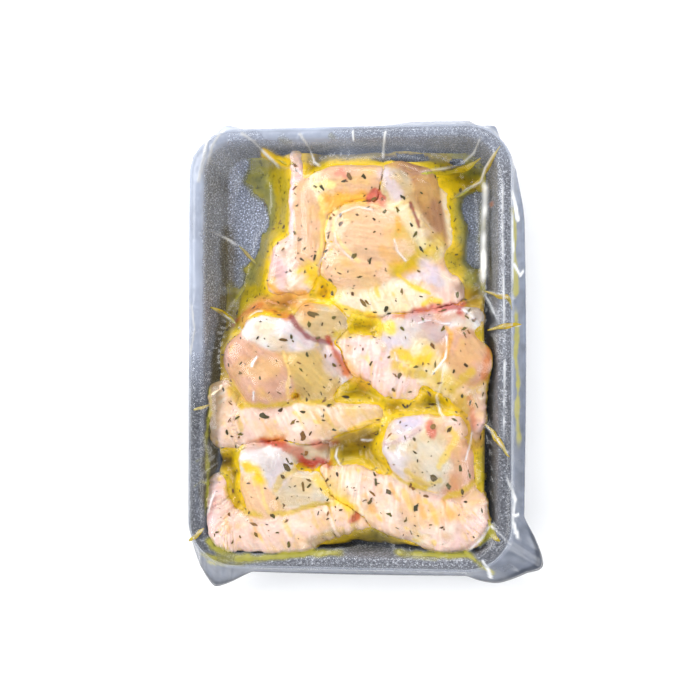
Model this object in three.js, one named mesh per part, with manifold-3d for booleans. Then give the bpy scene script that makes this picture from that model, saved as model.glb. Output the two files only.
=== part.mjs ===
// Six raw chicken wings in herb marinade on a foam tray, drawn tight in a clear vacuum pouch.
// Millimetres. The origin is the centre of the tray's underside: +X across it, +Y along it, +Z up.
import * as THREE from "three";
import { mergeVertices } from "three/addons/utils/BufferGeometryUtils.js";
import Module from "manifold-3d";

const wasm = await Module();
wasm.setup();

// Tray
const TRAY_HALF_WIDTH = 89;
const TRAY_HALF_LENGTH = 120.5;
const CORNER_STEPS = 6;
// Each ring of the tray: inset from the rim's edge across and along, corner radius, height.
const TRAY_OUTSIDE = [
  [16.5, 12.5, 13, 0],
  [14.5, 11, 15, 2.2],
  [7.5, 6, 20, 22.5],
  [1, 1, 24, 24.3],
];
const TRAY_INSIDE = [
  [0, 0, 25, 27],
  [1, 1, 24, 29.3],
  [3, 3, 22.5, 30],
  [6.5, 5.5, 20, 29.7],
  [8.2, 6.6, 18.5, 27.5],
  [14, 10.4, 14, 8.5],
  [16, 12, 12, 5.2],
  [18.5, 14.5, 10, 4.2],
];
const FLOOR_TOP = 4.2;
const WALL_FOOT = TRAY_INSIDE[6];
const WALL_HEAD = TRAY_INSIDE[4];

// Wings
const WING_FOOT = 6.2; // underside of the meat, on a thin bed of marinade
const FOOT_ROUND = 5;
const LOBE_RISE = 0.7; // height of a lobe's crown over its radius
const LOBE_BLEND = 3.2;
const WING_GAP = 0.6; // from each wing to the plane halfway to its neighbour
const WALL_GAP = 1.2;
const WING_CELL = 6.4; // lattice on which the meat is meshed
const LATTICE_TOP = 40;
const PINCH_NUDGE = 0.64; // field value given to a sample that changes side

// Marinade
const MARINADE_THIN = 0.9;
const MARINADE_DEEP = 9.5;
const MARINADE_REACH = 10; // how far from a wing the deep part fades
const MARINADE_GRID = [14, 20];
// Edge of the pool above and below, as rings of the tray are given.
const MARINADE_UPPER = [16.4, 12.4, 12, 5.9];
const MARINADE_LOWER = [18.8, 14.8, 10, 4.55];
const CUT_GROW = 1.3; // gap between the meat and the marinade
const CUT_BLEND = 7; // fills the narrow places between wings, where no marinade stands
const CUT_FOOT = 5.3; // height down to which the meat's place is cut
// Bare places on the tray's floor: centre and half size.
const BARE_FLOOR = [
  { at: [-71, 65], half: [22, 31] },
  { at: [64, 69], half: [8, 20] },
  { at: [12, -114], half: [16, 8] },
];

// Film
const FILM_THICK = 0.5;
const FILM_CLEAR = 1.5; // from what it lies on to its upper side
const FACET_SLACK = 0.3; // how much closer a flat facet may come
const FILM_GRID = [21, 29];
const FILM_PULL = 0.12; // how sharply the film can bend down into a hollow, 1/mm
const FILM_EDGE_TOP = 31.1;
const FILM_TOP_EDGE = [0.8, 0.8, 24.2];
const FILM_REST = [3, 3, 22.5]; // outside this the film lies on the rim
const DRAPE_STEP = 3;
const DRAPE_START = 24;
const DRAPE_PASSES = 260;
const CLEAR_STEPS = 5; // samples along a facet's side
const CLEAR_PASSES = 12;
const FILL_PASSES = 3;
const FILL_SHARE = 0.7;
// How far the side seam stands out on the left, right, far and near sides.
const SEAM = { left: 1.0, right: 6.0, far: 1.2, near: 2.2 };
const SEAM_HEIGHT = 21;
const SEAM_RING = [-1.6, -1.6, 26.6];
const CORNER_FADE = 25;
// Rings of the film outside the rim: the shoulder above the seam, then the skin down the wall.
const FILM_SHOULDER = [-1.5, -1.5, 26.5, 27.4];
const FILM_SKIRT = [
  [-1.4, -1.4, 26.4, 19.5],
  [12.2, 8.8, 17, 0.9],
  [12.9, 9.5, 16.3, 0.9],
  [-1, -1, 26, 25.8],
];
// Loose corners of the pouch: where on the rim each starts, its tip, and half its length along the rim.
const EARS = [
  { root: [-78, 113], tip: [-79, 121, 23], half: 30 },
  { root: [78, 113], tip: [84, 119, 22], half: 26 },
  { root: [-76, -114], tip: [-81, -132.5, 12], half: 30 },
  { root: [84, -106], tip: [102, -117, 12], half: 22 },
  { root: [68, -119], tip: [76, -126, 14], half: 22 },
];

// Herb flakes
const FLAKES_EACH = 7;
const FLAKE_SEED = 100;
const FLAKE_LONG = 5;
const FLAKE_SHORT = 2.6;
const FLAKE_HIGH = 0.35; // how far it stands out
const FLAKE_HALF_HEIGHT = 0.6;
const FLAKE_TRIES = 200;
const FLAKE_LEVEL = 0.75; // least upward part of the face's normal
const FLAKE_ASIDE = 5; // how far a flake in the pool keeps from the meat

const FLESH = "flesh";
const SKIN = "skin";
const FAT = "fat";

// A lobe runs between two places on its crown, each [x, y, top], with a radius in plan at each end.
const lobe = (kind, from, to, fromRadius, toRadius) => ({ kind, from, to, fromRadius, toRadius });

// Each wing is the heap of muscles, joints and skin that shows: the upper arm's muscles and the joint
// at its head, and the skin-covered forearm that folds back from the elbow.
const WINGS = {
  wing_1: [
    lobe(SKIN, [-31, 107, 22], [-29, 82, 25], 3.5, 3.5), // wing tip
    lobe(SKIN, [-29, 82, 25], [-31, 57, 26], 3.5, 4.5),
    lobe(SKIN, [-38, 55, 25], [-40, 36, 26], 5, 7), // elbow, outer fold
    lobe(SKIN, [-31, 53, 26], [-27, 37, 28], 5, 7.5), // elbow, inner fold
    lobe(FLESH, [-20, 85, 30], [-19, 52, 31], 9, 10), // side muscle
    lobe(FLESH, [-7, 91, 33], [12, 91, 34], 9.5, 9), // upper muscle
    lobe(FAT, [-16, 90, 31], [-11, 85, 32], 5.5, 6),
    lobe(FAT, [-10, 80, 30], [10, 80, 30], 6.5, 6), // fat in the valley below it
  ],
  wing_2: [
    lobe(FLESH, [7, 62, 37], [21, 60, 37], 20, 17.5), // large round muscle
    lobe(FLESH, [-3, 45, 34], [12, 44, 34], 11.5, 11.5), // lower muscle
    lobe(FAT, [25, 88, 34], [28, 83, 34], 8.5, 8.5), // joint
    lobe(FLESH, [28, 96, 30], [40, 91, 29], 6.5, 7.5),
    lobe(FLESH, [38, 85, 31], [44, 59, 29], 10, 9.5), // outer muscle
    lobe(FAT, [29, 76, 34], [45, 53, 31], 6.5, 6), // strip of fat
    lobe(FLESH, [29, 46, 30], [45, 43, 29], 10, 7.5),
    lobe(SKIN, [1, 27, 29], [8, 27, 29], 8.5, 9), // end of the forearm
    lobe(SKIN, [18, 27, 31], [40, 27, 31], 10, 10), // forearm
    lobe(SKIN, [44, 34, 31], [54, 31, 29], 11, 9.5), // elbow
    lobe(SKIN, [52, 82, 14], [54, 59, 16], 3.5, 3.5), // loose skin
  ],
  wing_3: [
    lobe(SKIN, [-69, -27, 27], [-67, -45, 28], 8.5, 10), // elbow
    lobe(SKIN, [-60, -42, 29], [-23, -41, 30], 11.5, 11.5), // forearm
    lobe(SKIN, [-23, -41, 30], [14, -37, 26], 11.5, 5.5),
    lobe(FLESH, [-51, -5, 34], [-45, -18, 36], 13.5, 15.5), // large muscle
    lobe(FLESH, [-26, -10, 32], [-17, -19, 31], 12, 11), // side muscle
    lobe(FAT, [-50, 10, 33], [-43, 8, 34], 8.5, 8.5), // joint
    lobe(SKIN, [-33, 7, 33], [-27, 4, 32], 8.5, 7.5),
    lobe(FAT, [-7, -4, 28], [-4, -15, 25], 5, 4.5), // tendon
    lobe(FLESH, [-21, 15, 31], [-12, 14, 31], 9.5, 9.5), // round end of the upper arm
  ],
  wing_4: [
    lobe(SKIN, [-6, 3, 27], [10, -5, 30], 6, 10), // forearm
    lobe(SKIN, [10, -5, 30], [25, -16, 31], 10, 10.5),
    lobe(SKIN, [25, -16, 31], [33, -23, 28], 10.5, 6), // end of the forearm
    lobe(FAT, [27, 10, 32], [30, 2, 32], 8.5, 8.5), // joint
    lobe(FLESH, [40, 11, 32], [50, 11, 32], 8.5, 8.5),
    lobe(FAT, [40, -3, 32], [50, -15, 31], 9.5, 9.5),
    lobe(FLESH, [60, 1, 33], [67, -8, 33], 10.5, 12), // side muscle
    lobe(SKIN, [58, 16, 31], [69, 16, 30], 5, 5.5),
    lobe(SKIN, [58, -22, 28], [63, -29, 26], 6.5, 5.5), // loose skin along the side
    lobe(SKIN, [72, -19, 24], [70, -40, 23], 4, 4),
    lobe(SKIN, [70, -40, 23], [66, -57, 21], 4, 3.5),
  ],
  wing_5: [
    lobe(SKIN, [-72, -75, 26], [-73, -85, 27], 5, 6.5), // skin over the upper arm
    lobe(SKIN, [-71, -90, 27], [-68, -103, 28], 7.5, 11), // elbow
    lobe(SKIN, [-66, -102, 29], [-31, -100, 31], 12, 13.5), // forearm
    lobe(SKIN, [-31, -100, 31], [-6, -94, 28], 13.5, 8.5),
    lobe(SKIN, [-6, -94, 28], [7, -95, 25], 8.5, 4.5), // wrist
    lobe(FAT, [-54, -63, 33], [-46, -63, 34], 7.5, 7.5), // ring of the joint
    lobe(FAT, [-40, -64, 33], [-39, -72, 33], 7.5, 7),
    lobe(FLESH, [-52, -76, 32], [-48, -85, 33], 9, 9.5), // muscle
    lobe(FAT, [-33, -77, 32], [-21, -78, 31], 10, 8.5), // cartilage
    lobe(FLESH, [-36, -57, 28], [-17, -58, 27], 6, 6), // shoulder muscle
  ],
  wing_6: [
    lobe(SKIN, [-13, -70, 26], [3, -76, 29], 5.5, 10), // end of the forearm
    lobe(SKIN, [3, -76, 29], [27, -87, 32], 10, 15), // forearm
    lobe(SKIN, [27, -87, 32], [50, -96, 32], 15, 15),
    lobe(SKIN, [50, -96, 32], [63, -99, 30], 15, 12), // elbow
    lobe(SKIN, [69, -83, 28], [67, -93, 29], 6.5, 10),
    lobe(FAT, [27, -55, 33], [32, -59, 35], 8.5, 11), // joint
    lobe(FLESH, [29, -45, 32], [36, -45, 33], 7, 7.5),
    lobe(SKIN, [45, -43, 31], [57, -45, 31], 6.5, 7),
    lobe(FAT, [40, -56, 36], [47, -63, 36], 14.5, 13.5),
    lobe(FLESH, [58, -60, 34], [59, -71, 32], 10.5, 10), // muscle
  ],
};

// Small helpers
const mix = (a, b, t) => a + (b - a) * t;
const clamp01 = (t) => Math.min(1, Math.max(0, t));

// A seeded draw, the same every time.
function seededRandom(seed) {
  let state = seed;
  return () => {
    state = (state * 1664525 + 1013904223) % 4294967296;
    return state / 4294967296;
  };
}

function smoothMin(a, b, width) {
  const blend = Math.max(width - Math.abs(a - b), 0) / width;
  return Math.min(a, b) - (blend * blend * width) / 4;
}

// Signed distance in plan from a rounded rectangle inset from the tray's rim.
function ringDistance([insetX, insetY, radius], x, y) {
  const dx = Math.abs(x) - (TRAY_HALF_WIDTH - insetX - radius);
  const dy = Math.abs(y) - (TRAY_HALF_LENGTH - insetY - radius);
  return Math.hypot(Math.max(dx, 0), Math.max(dy, 0)) + Math.min(Math.max(dx, dy), 0) - radius;
}

function ringAtHeight(z) {
  const t = clamp01((z - WALL_FOOT[3]) / (WALL_HEAD[3] - WALL_FOOT[3]));
  return WALL_FOOT.map((value, i) => mix(value, WALL_HEAD[i], t));
}

function geometryFrom(positions, indices) {
  const geometry = new THREE.BufferGeometry();
  geometry.setAttribute("position", new THREE.Float32BufferAttribute(positions, 3));
  geometry.setIndex(indices);
  return geometry;
}

function solidFrom(geometry) {
  const bare = geometry.clone();
  bare.deleteAttribute("normal");
  bare.deleteAttribute("uv");
  const merged = mergeVertices(bare, 1e-3);
  return new wasm.Manifold(
    new wasm.Mesh({
      numProp: 3,
      vertProperties: merged.attributes.position.array,
      triVerts: new Uint32Array(merged.index.array),
    }),
  );
}

function geometryOf(solid) {
  const mesh = solid.getMesh();
  return geometryFrom(Array.from(mesh.vertProperties), Array.from(mesh.triVerts));
}

const largestBody = (solid) => solid.decompose().sort((a, b) => b.volume() - a.volume())[0];

// Tray: closed rings lofted from the underside, over the rim and down to the floor.
function trayRing([insetX, insetY, radius, z]) {
  const points = [];
  const corners = [
    [1, 1],
    [-1, 1],
    [-1, -1],
    [1, -1],
  ];
  corners.forEach(([signX, signY], quarter) => {
    for (let i = 0; i <= CORNER_STEPS; i++) {
      const angle = ((quarter + i / CORNER_STEPS) * Math.PI) / 2;
      points.push([
        signX * (TRAY_HALF_WIDTH - insetX - radius) + radius * Math.cos(angle),
        signY * (TRAY_HALF_LENGTH - insetY - radius) + radius * Math.sin(angle),
        z,
      ]);
    }
  });
  return points;
}

function makeTray() {
  const rings = [...TRAY_OUTSIDE, ...TRAY_INSIDE].map(trayRing);
  const count = rings[0].length;
  const positions = rings.flat(2);
  const indices = [];
  for (let r = 0; r + 1 < rings.length; r++) {
    for (let i = 0; i < count; i++) {
      const a = r * count + i;
      const b = r * count + ((i + 1) % count);
      indices.push(a, b, b + count, a, b + count, a + count);
    }
  }
  const under = positions.length / 3;
  positions.push(0, 0, TRAY_OUTSIDE[0][3]);
  const floor = under + 1;
  positions.push(0, 0, FLOOR_TOP);
  const top = (rings.length - 1) * count;
  for (let i = 0; i < count; i++) {
    const next = (i + 1) % count;
    indices.push(under, next, i);
    indices.push(floor, top + i, top + next);
  }
  return geometryFrom(positions, indices);
}

// Height of the tray's upper surface.
function trayHeight(x, y) {
  let outer = ringDistance(TRAY_INSIDE[0], x, y);
  for (let i = 1; i < TRAY_INSIDE.length; i++) {
    const inner = ringDistance(TRAY_INSIDE[i], x, y);
    if (inner > 0) {
      const t = clamp01(-outer / (inner - outer));
      return mix(TRAY_INSIDE[i - 1][3], TRAY_INSIDE[i][3], t);
    }
    outer = inner;
  }
  return FLOOR_TOP;
}

// Wings: each lobe is a round-topped loaf with upright sides and a rounded foot.
function lobeAt(part, x, y) {
  const dx = part.to[0] - part.from[0];
  const dy = part.to[1] - part.from[1];
  const t = clamp01(((x - part.from[0]) * dx + (y - part.from[1]) * dy) / (dx * dx + dy * dy));
  const radius = mix(part.fromRadius, part.toRadius, t);
  const away = Math.hypot(x - part.from[0] - t * dx, y - part.from[1] - t * dy);
  return { radius, share: away / radius, top: mix(part.from[2], part.to[2], t) };
}

function lobeDistance(part, x, y, z) {
  const { radius, share, top } = lobeAt(part, x, y);
  const rise = LOBE_RISE * radius;
  const above = Math.max(z - (top - rise), 0) / rise;
  const below = Math.max(WING_FOOT + FOOT_ROUND - z, 0) / (2 * FOOT_ROUND);
  return (Math.hypot(share, above, below) - 1) * Math.min(radius, rise * 1.2);
}

function wingDistance(lobes, x, y, z, blend = LOBE_BLEND) {
  return lobes.reduce((best, part) => smoothMin(best, lobeDistance(part, x, y, z), blend), 1e3);
}

function lobesHeight(lobes, x, y) {
  let height = 0;
  for (const part of lobes) {
    const { radius, share, top } = lobeAt(part, x, y);
    if (share < 1) height = Math.max(height, top - LOBE_RISE * radius * (1 - Math.sqrt(1 - share * share)));
  }
  return height;
}

function plainDistance(lobes, x, y) {
  let nearest = 1e3;
  for (const part of lobes) {
    const { radius, share } = lobeAt(part, x, y);
    nearest = Math.min(nearest, (share - 1) * radius);
  }
  return nearest;
}

const CELL_EDGES = [1, 2, 4];
const CELL_FACES = [
  [1, 2],
  [2, 4],
  [4, 1],
].flatMap(([u, v]) => [0, 7 - u - v].map((base) => [base, base + u, base + u + v, base + v]));

// Whether a cell's marked corners hang together along its edges, and meet no face at a diagonal alone.
function cleanCell(mask) {
  const joined = (part) => {
    let reached = part & -part;
    for (let step = 0; step < 4; step++)
      for (let c = 0; c < 8; c++)
        if (reached & (1 << c)) for (const bit of CELL_EDGES) reached |= part & (1 << (c ^ bit));
    return reached === part;
  };
  const crossed = CELL_FACES.some(([a, b, c, d]) => {
    const [inA, inB, inC, inD] = [a, b, c, d].map((corner) => (mask >> corner) & 1);
    return inA === inC && inB === inD && inA !== inB;
  });
  return !crossed && joined(mask) && joined(255 - mask);
}

const CLEAN_CELLS = Array.from({ length: 256 }, (_, mask) => cleanCell(mask));

// The surface where a field changes sign: one vertex in each crossed cell, one quad on each crossed edge.
// Where two sheets would pinch in one cell, its weakest sample changes side, outwards if wider is set.
function surfaceNet(field, low, high, cell, wider = false) {
  const size = [0, 1, 2].map((axis) => Math.ceil((high[axis] - low[axis]) / cell) + 1);
  const stride = [1, size[0], size[0] * size[1]];
  const values = new Float32Array(size[0] * size[1] * size[2]);
  const at = (i, j, k) => i + j * stride[1] + k * stride[2];
  for (let k = 0; k < size[2]; k++)
    for (let j = 0; j < size[1]; j++)
      for (let i = 0; i < size[0]; i++)
        values[at(i, j, k)] = field(low[0] + i * cell, low[1] + j * cell, low[2] + k * cell);

  const offsets = Array.from({ length: 8 }, (_, c) => at(c & 1, (c >> 1) & 1, (c >> 2) & 1));
  let pinched = true;
  for (let pass = 0; pass < 20 && pinched; pass++) {
    pinched = false;
    for (let k = 0; k + 1 < size[2]; k++)
      for (let j = 0; j + 1 < size[1]; j++)
        for (let i = 0; i + 1 < size[0]; i++) {
          const around = offsets.map((offset) => at(i, j, k) + offset);
          const mask = around.reduce((sum, here, c) => sum | (values[here] < 0 ? 1 << c : 0), 0);
          if (CLEAN_CELLS[mask]) continue;
          const weak = around
            .filter((here) => values[here] < 0 !== wider)
            .sort((a, b) => Math.abs(values[a]) - Math.abs(values[b]))[0];
          values[weak] = wider ? -PINCH_NUDGE : PINCH_NUDGE;
          pinched = true;
        }
  }

  const corners = [];
  for (let c = 0; c < 8; c++) corners.push([c & 1, (c >> 1) & 1, (c >> 2) & 1]);
  const positions = [];
  const vertexOf = new Map();
  for (let k = 0; k + 1 < size[2]; k++)
    for (let j = 0; j + 1 < size[1]; j++)
      for (let i = 0; i + 1 < size[0]; i++) {
        const sum = [0, 0, 0];
        let crossings = 0;
        for (let a = 0; a < 8; a++)
          for (const bit of CELL_EDGES) {
            const b = a | bit;
            if (b === a) continue;
            const va = values[at(i + corners[a][0], j + corners[a][1], k + corners[a][2])];
            const vb = values[at(i + corners[b][0], j + corners[b][1], k + corners[b][2])];
            if (va < 0 === vb < 0) continue;
            const t = va / (va - vb);
            for (let axis = 0; axis < 3; axis++) sum[axis] += mix(corners[a][axis], corners[b][axis], t);
            crossings++;
          }
        if (!crossings) continue;
        vertexOf.set(at(i, j, k), positions.length / 3);
        [i, j, k].forEach((index, axis) => {
          positions.push(low[axis] + (index + sum[axis] / crossings) * cell);
        });
      }

  const indices = [];
  for (let k = 1; k + 1 < size[2]; k++)
    for (let j = 1; j + 1 < size[1]; j++)
      for (let i = 1; i + 1 < size[0]; i++)
        for (let axis = 0; axis < 3; axis++) {
          const here = at(i, j, k);
          const inside = values[here] < 0;
          if (inside === values[here + stride[axis]] < 0) continue;
          const u = stride[(axis + 1) % 3];
          const v = stride[(axis + 2) % 3];
          const quad = [here - u - v, here - v, here, here - u].map((cellIndex) => vertexOf.get(cellIndex));
          if (!inside) quad.reverse();
          indices.push(quad[0], quad[1], quad[2], quad[0], quad[2], quad[3]);
        }
  return geometryFrom(positions, indices);
}

// One wing's field, held off its neighbours and the tray's wall, and flat where it rests.
function fittedWing(name) {
  const others = Object.keys(WINGS).filter((other) => other !== name);
  return (x, y, z) => {
    let value = wingDistance(WINGS[name], x, y, z);
    if (value < 2 * WING_CELL) {
      for (const other of others) {
        const beside = wingDistance(WINGS[other], x, y, z);
        if (beside < 2 * WING_CELL) value = Math.max(value, (value - beside) / 2 + WING_GAP);
      }
    }
    value = Math.max(value, ringDistance(ringAtHeight(z), x, y) + WALL_GAP);
    return Math.max(value, WING_FOOT - z);
  };
}

function boundsOf(lobes, margin) {
  const xs = lobes.flatMap((part) => [part.from[0], part.to[0]]);
  const ys = lobes.flatMap((part) => [part.from[1], part.to[1]]);
  const widest = Math.max(...lobes.flatMap((part) => [part.fromRadius, part.toRadius])) + margin;
  // Every piece is cut on one lattice, so that neighbouring surfaces run alike.
  const snap = (value) => Math.floor(value / margin) * margin;
  return [
    [snap(Math.min(...xs) - widest), snap(Math.min(...ys) - widest), -margin],
    [Math.max(...xs) + widest, Math.max(...ys) + widest, LATTICE_TOP + margin],
  ];
}

// Herb flakes: small leaf chips pressed into the upper surface, the largest first.
function addFlakes(solid, seed, allowed = () => true) {
  const random = seededRandom(seed);
  const mesh = new THREE.Mesh(geometryOf(solid), new THREE.MeshBasicMaterial());
  const box = new THREE.Box3().setFromObject(mesh);
  const ray = new THREE.Raycaster();
  let joined = solid;
  let placed = 0;
  for (let attempt = 0; attempt < FLAKE_TRIES && placed < FLAKES_EACH; attempt++) {
    const x = mix(box.min.x, box.max.x, random());
    const y = mix(box.min.y, box.max.y, random());
    const turn = random() * Math.PI;
    ray.set(new THREE.Vector3(x, y, box.max.z + 1), new THREE.Vector3(0, 0, -1));
    const hit = ray.intersectObject(mesh)[0];
    if (!hit || hit.face.normal.z < FLAKE_LEVEL || !allowed(hit.point)) continue;
    const length = mix(FLAKE_LONG, FLAKE_SHORT, placed / FLAKES_EACH);
    const leaf = new THREE.OctahedronGeometry(1, 0);
    leaf.scale(length / 2, length / 4, FLAKE_HALF_HEIGHT);
    leaf.rotateZ(turn);
    const upward = new THREE.Vector3(0, 0, 1);
    leaf.applyQuaternion(new THREE.Quaternion().setFromUnitVectors(upward, hit.face.normal));
    hit.point.addScaledVector(hit.face.normal, FLAKE_HIGH - FLAKE_HALF_HEIGHT);
    leaf.translate(...hit.point.toArray());
    joined = joined.add(solidFrom(leaf));
    placed++;
  }
  return largestBody(joined);
}

function makeWing(name, seed) {
  const [low, high] = boundsOf(WINGS[name], WING_CELL);
  const solid = largestBody(solidFrom(surfaceNet(fittedWing(name), low, high, WING_CELL)));
  return geometryOf(addFlakes(solid, seed));
}

const ALL_LOBES = Object.values(WINGS).flat();

// A point of a square grid from -1 to 1, moved onto a rounded rectangle: squares near each corner
// are drawn in until their outer edge is the arc.
function ontoRing(u, v, [insetX, insetY, radius]) {
  const halfX = TRAY_HALF_WIDTH - insetX;
  const halfY = TRAY_HALF_LENGTH - insetY;
  let x = u * halfX;
  let y = v * halfY;
  const dx = Math.abs(x) - (halfX - radius);
  const dy = Math.abs(y) - (halfY - radius);
  if (dx > 0 && dy > 0) {
    const pull = Math.max(dx, dy) / Math.hypot(dx, dy);
    x = Math.sign(x) * (halfX - radius + dx * pull);
    y = Math.sign(y) * (halfY - radius + dy * pull);
  }
  return [x, y];
}

// A grid of cells over a rounded rectangle, its vertices, its cells and the loop round its edge.
function makeGrid([across, along], ring) {
  const index = (i, j) => i + j * (across + 1);
  const points = [];
  for (let j = 0; j <= along; j++)
    for (let i = 0; i <= across; i++)
      points.push(ontoRing((2 * i) / across - 1, (2 * j) / along - 1, ring));
  const cells = [];
  for (let j = 0; j < along; j++)
    for (let i = 0; i < across; i++)
      cells.push([index(i, j), index(i + 1, j), index(i + 1, j + 1), index(i, j + 1)]);
  const edge = [];
  for (let i = 0; i < across; i++) edge.push([i, 0]);
  for (let j = 0; j < along; j++) edge.push([across, j]);
  for (let i = across; i > 0; i--) edge.push([i, along]);
  for (let j = along; j > 0; j--) edge.push([0, j]);
  return {
    points,
    cells,
    edge: edge.map(([i, j]) => index(i, j)),
    edgeAt: edge.map(([i, j]) => [(2 * i) / across - 1, (2 * j) / along - 1]),
  };
}

// Marinade: a pool that stands between the wings and thins out towards the walls.
function marinadeHeight(x, y) {
  const away = Math.max(plainDistance(ALL_LOBES, x, y), 0);
  return FLOOR_TOP + MARINADE_THIN + MARINADE_DEEP * Math.exp(-((away / MARINADE_REACH) ** 2));
}

function makeMarinade(seed) {
  const grid = makeGrid(MARINADE_GRID, MARINADE_UPPER);
  const positions = [];
  for (const [x, y] of grid.points) positions.push(x, y, Math.max(marinadeHeight(x, y), MARINADE_UPPER[3]));
  const indices = [];
  for (const [a, b, c, d] of grid.cells) indices.push(a, b, c, a, c, d);
  const foot = positions.length / 3;
  for (const [u, v] of grid.edgeAt) positions.push(...ontoRing(u, v, MARINADE_LOWER), MARINADE_LOWER[3]);
  const centre = positions.length / 3;
  positions.push(0, 0, MARINADE_LOWER[3]);
  const count = grid.edge.length;
  for (let i = 0; i < count; i++) {
    const next = (i + 1) % count;
    indices.push(grid.edge[i], foot + i, foot + next, grid.edge[i], foot + next, grid.edge[next]);
    indices.push(centre, foot + next, foot + i);
  }
  let pool = solidFrom(geometryFrom(positions, indices));

  for (const { at, half } of BARE_FLOOR) {
    const bare = new THREE.CylinderGeometry(1, 1, LATTICE_TOP, 20).rotateX(Math.PI / 2);
    bare.scale(half[0], half[1], 1);
    bare.translate(at[0], at[1], 0);
    pool = pool.subtract(solidFrom(bare));
  }

  const grown = (x, y, z) =>
    Math.max(wingDistance(ALL_LOBES, x, y, z, CUT_BLEND) - CUT_GROW, CUT_FOOT - z);
  const [low, high] = boundsOf(ALL_LOBES, WING_CELL);
  pool = pool.subtract(solidFrom(surfaceNet(grown, low, high, WING_CELL, true)));
  const clearOfMeat = (point) => plainDistance(ALL_LOBES, point.x, point.y) > FLAKE_ASIDE;
  return geometryOf(addFlakes(largestBody(pool), seed, clearOfMeat));
}

// Film: what it lies on, sagging between supports as a tight membrane does.
function contentHeight(x, y) {
  const wing = lobesHeight(ALL_LOBES, x, y);
  return Math.max(trayHeight(x, y), wing, marinadeHeight(x, y));
}

function drapedHeights() {
  const across = Math.ceil((2 * TRAY_HALF_WIDTH) / DRAPE_STEP) + 1;
  const along = Math.ceil((2 * TRAY_HALF_LENGTH) / DRAPE_STEP) + 1;
  const support = new Float32Array(across * along);
  const fixed = new Uint8Array(across * along);
  for (let j = 0; j < along; j++)
    for (let i = 0; i < across; i++) {
      const x = i * DRAPE_STEP - TRAY_HALF_WIDTH;
      const y = j * DRAPE_STEP - TRAY_HALF_LENGTH;
      const here = i + j * across;
      fixed[here] = ringDistance(FILM_REST, x, y) > 0;
      support[here] = fixed[here] ? FILM_EDGE_TOP : contentHeight(x, y) + FILM_CLEAR;
    }
  const height = Float32Array.from(support, (value) => Math.max(value, DRAPE_START));
  const sag = (FILM_PULL * DRAPE_STEP * DRAPE_STEP) / 4;
  for (let pass = 0; pass < DRAPE_PASSES; pass++)
    for (let j = 1; j + 1 < along; j++)
      for (let i = 1; i + 1 < across; i++) {
        const here = i + j * across;
        if (fixed[here]) continue;
        const around = height[here - 1] + height[here + 1] + height[here - across] + height[here + across];
        height[here] = Math.max(support[here], around / 4 - sag);
      }
  return (x, y) => {
    const gx = Math.min(Math.max((x + TRAY_HALF_WIDTH) / DRAPE_STEP, 0), across - 1.001);
    const gy = Math.min(Math.max((y + TRAY_HALF_LENGTH) / DRAPE_STEP, 0), along - 1.001);
    const i = Math.floor(gx);
    const j = Math.floor(gy);
    const row = (k) => mix(height[i + k * across], height[i + 1 + k * across], gx - i);
    return mix(row(j), row(j + 1), gy - j);
  };
}

// Lifts the corners of any flat facet that would dip into what lies under it.
function clearFacets(grid, heights) {
  const triangles = grid.cells.flatMap(([a, b, c, d]) => [
    [a, b, c],
    [a, c, d],
  ]);
  const steps = CLEAR_STEPS;
  const samples = [];
  for (const corners of triangles)
    for (let i = 0; i <= steps; i++)
      for (let j = 0; i + j <= steps; j++) {
        const weights = [i / steps, j / steps, (steps - i - j) / steps];
        const x = corners.reduce((sum, corner, n) => sum + weights[n] * grid.points[corner][0], 0);
        const y = corners.reduce((sum, corner, n) => sum + weights[n] * grid.points[corner][1], 0);
        if (ringDistance(FILM_REST, x, y) > 0) continue;
        samples.push({ corners, weights, need: contentHeight(x, y) + FILM_CLEAR - FACET_SLACK });
      }
  for (let pass = 0; pass < CLEAR_PASSES; pass++)
    for (const { corners, weights, need } of samples) {
      const here = corners.reduce((sum, corner, n) => sum + weights[n] * heights[corner], 0);
      if (here >= need) continue;
      const spread = weights.reduce((sum, weight) => sum + weight * weight, 0);
      corners.forEach((corner, n) => (heights[corner] += ((need - here) * weights[n]) / spread));
    }
}

// Raises each inner corner towards the mean of its neighbours, which never lowers the film.
function fillHollows(heights) {
  const [across, along] = FILM_GRID;
  const row = across + 1;
  for (let pass = 0; pass < FILL_PASSES; pass++)
    for (let j = 1; j < along; j++)
      for (let i = 1; i < across; i++) {
        const here = i + j * row;
        const beside = heights[here - 1] + heights[here + 1];
        const mean = (beside + heights[here - row] + heights[here + row]) / 4;
        heights[here] = Math.max(heights[here], mix(heights[here], mean, FILL_SHARE));
      }
}

// How far the pouch's side seam stands out at a point of the rim, fading round the corners.
function seamReach(x, y) {
  const sideways = clamp01((Math.abs(x) - TRAY_HALF_WIDTH) / CORNER_FADE + 1);
  const endways = clamp01((Math.abs(y) - TRAY_HALF_LENGTH) / CORNER_FADE + 1);
  const share = sideways / (sideways + endways + 1e-6);
  return mix(y > 0 ? SEAM.far : SEAM.near, x > 0 ? SEAM.right : SEAM.left, share);
}

function earPull(x, y) {
  const pull = [0, 0, 0];
  for (const { root, tip, half } of EARS) {
    const weight = Math.max(0, 1 - Math.hypot(x - root[0], y - root[1]) / half);
    pull[0] += weight * (tip[0] - root[0]);
    pull[1] += weight * (tip[1] - root[1]);
    pull[2] += weight * (tip[2] - SEAM_HEIGHT);
  }
  return pull;
}

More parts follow.
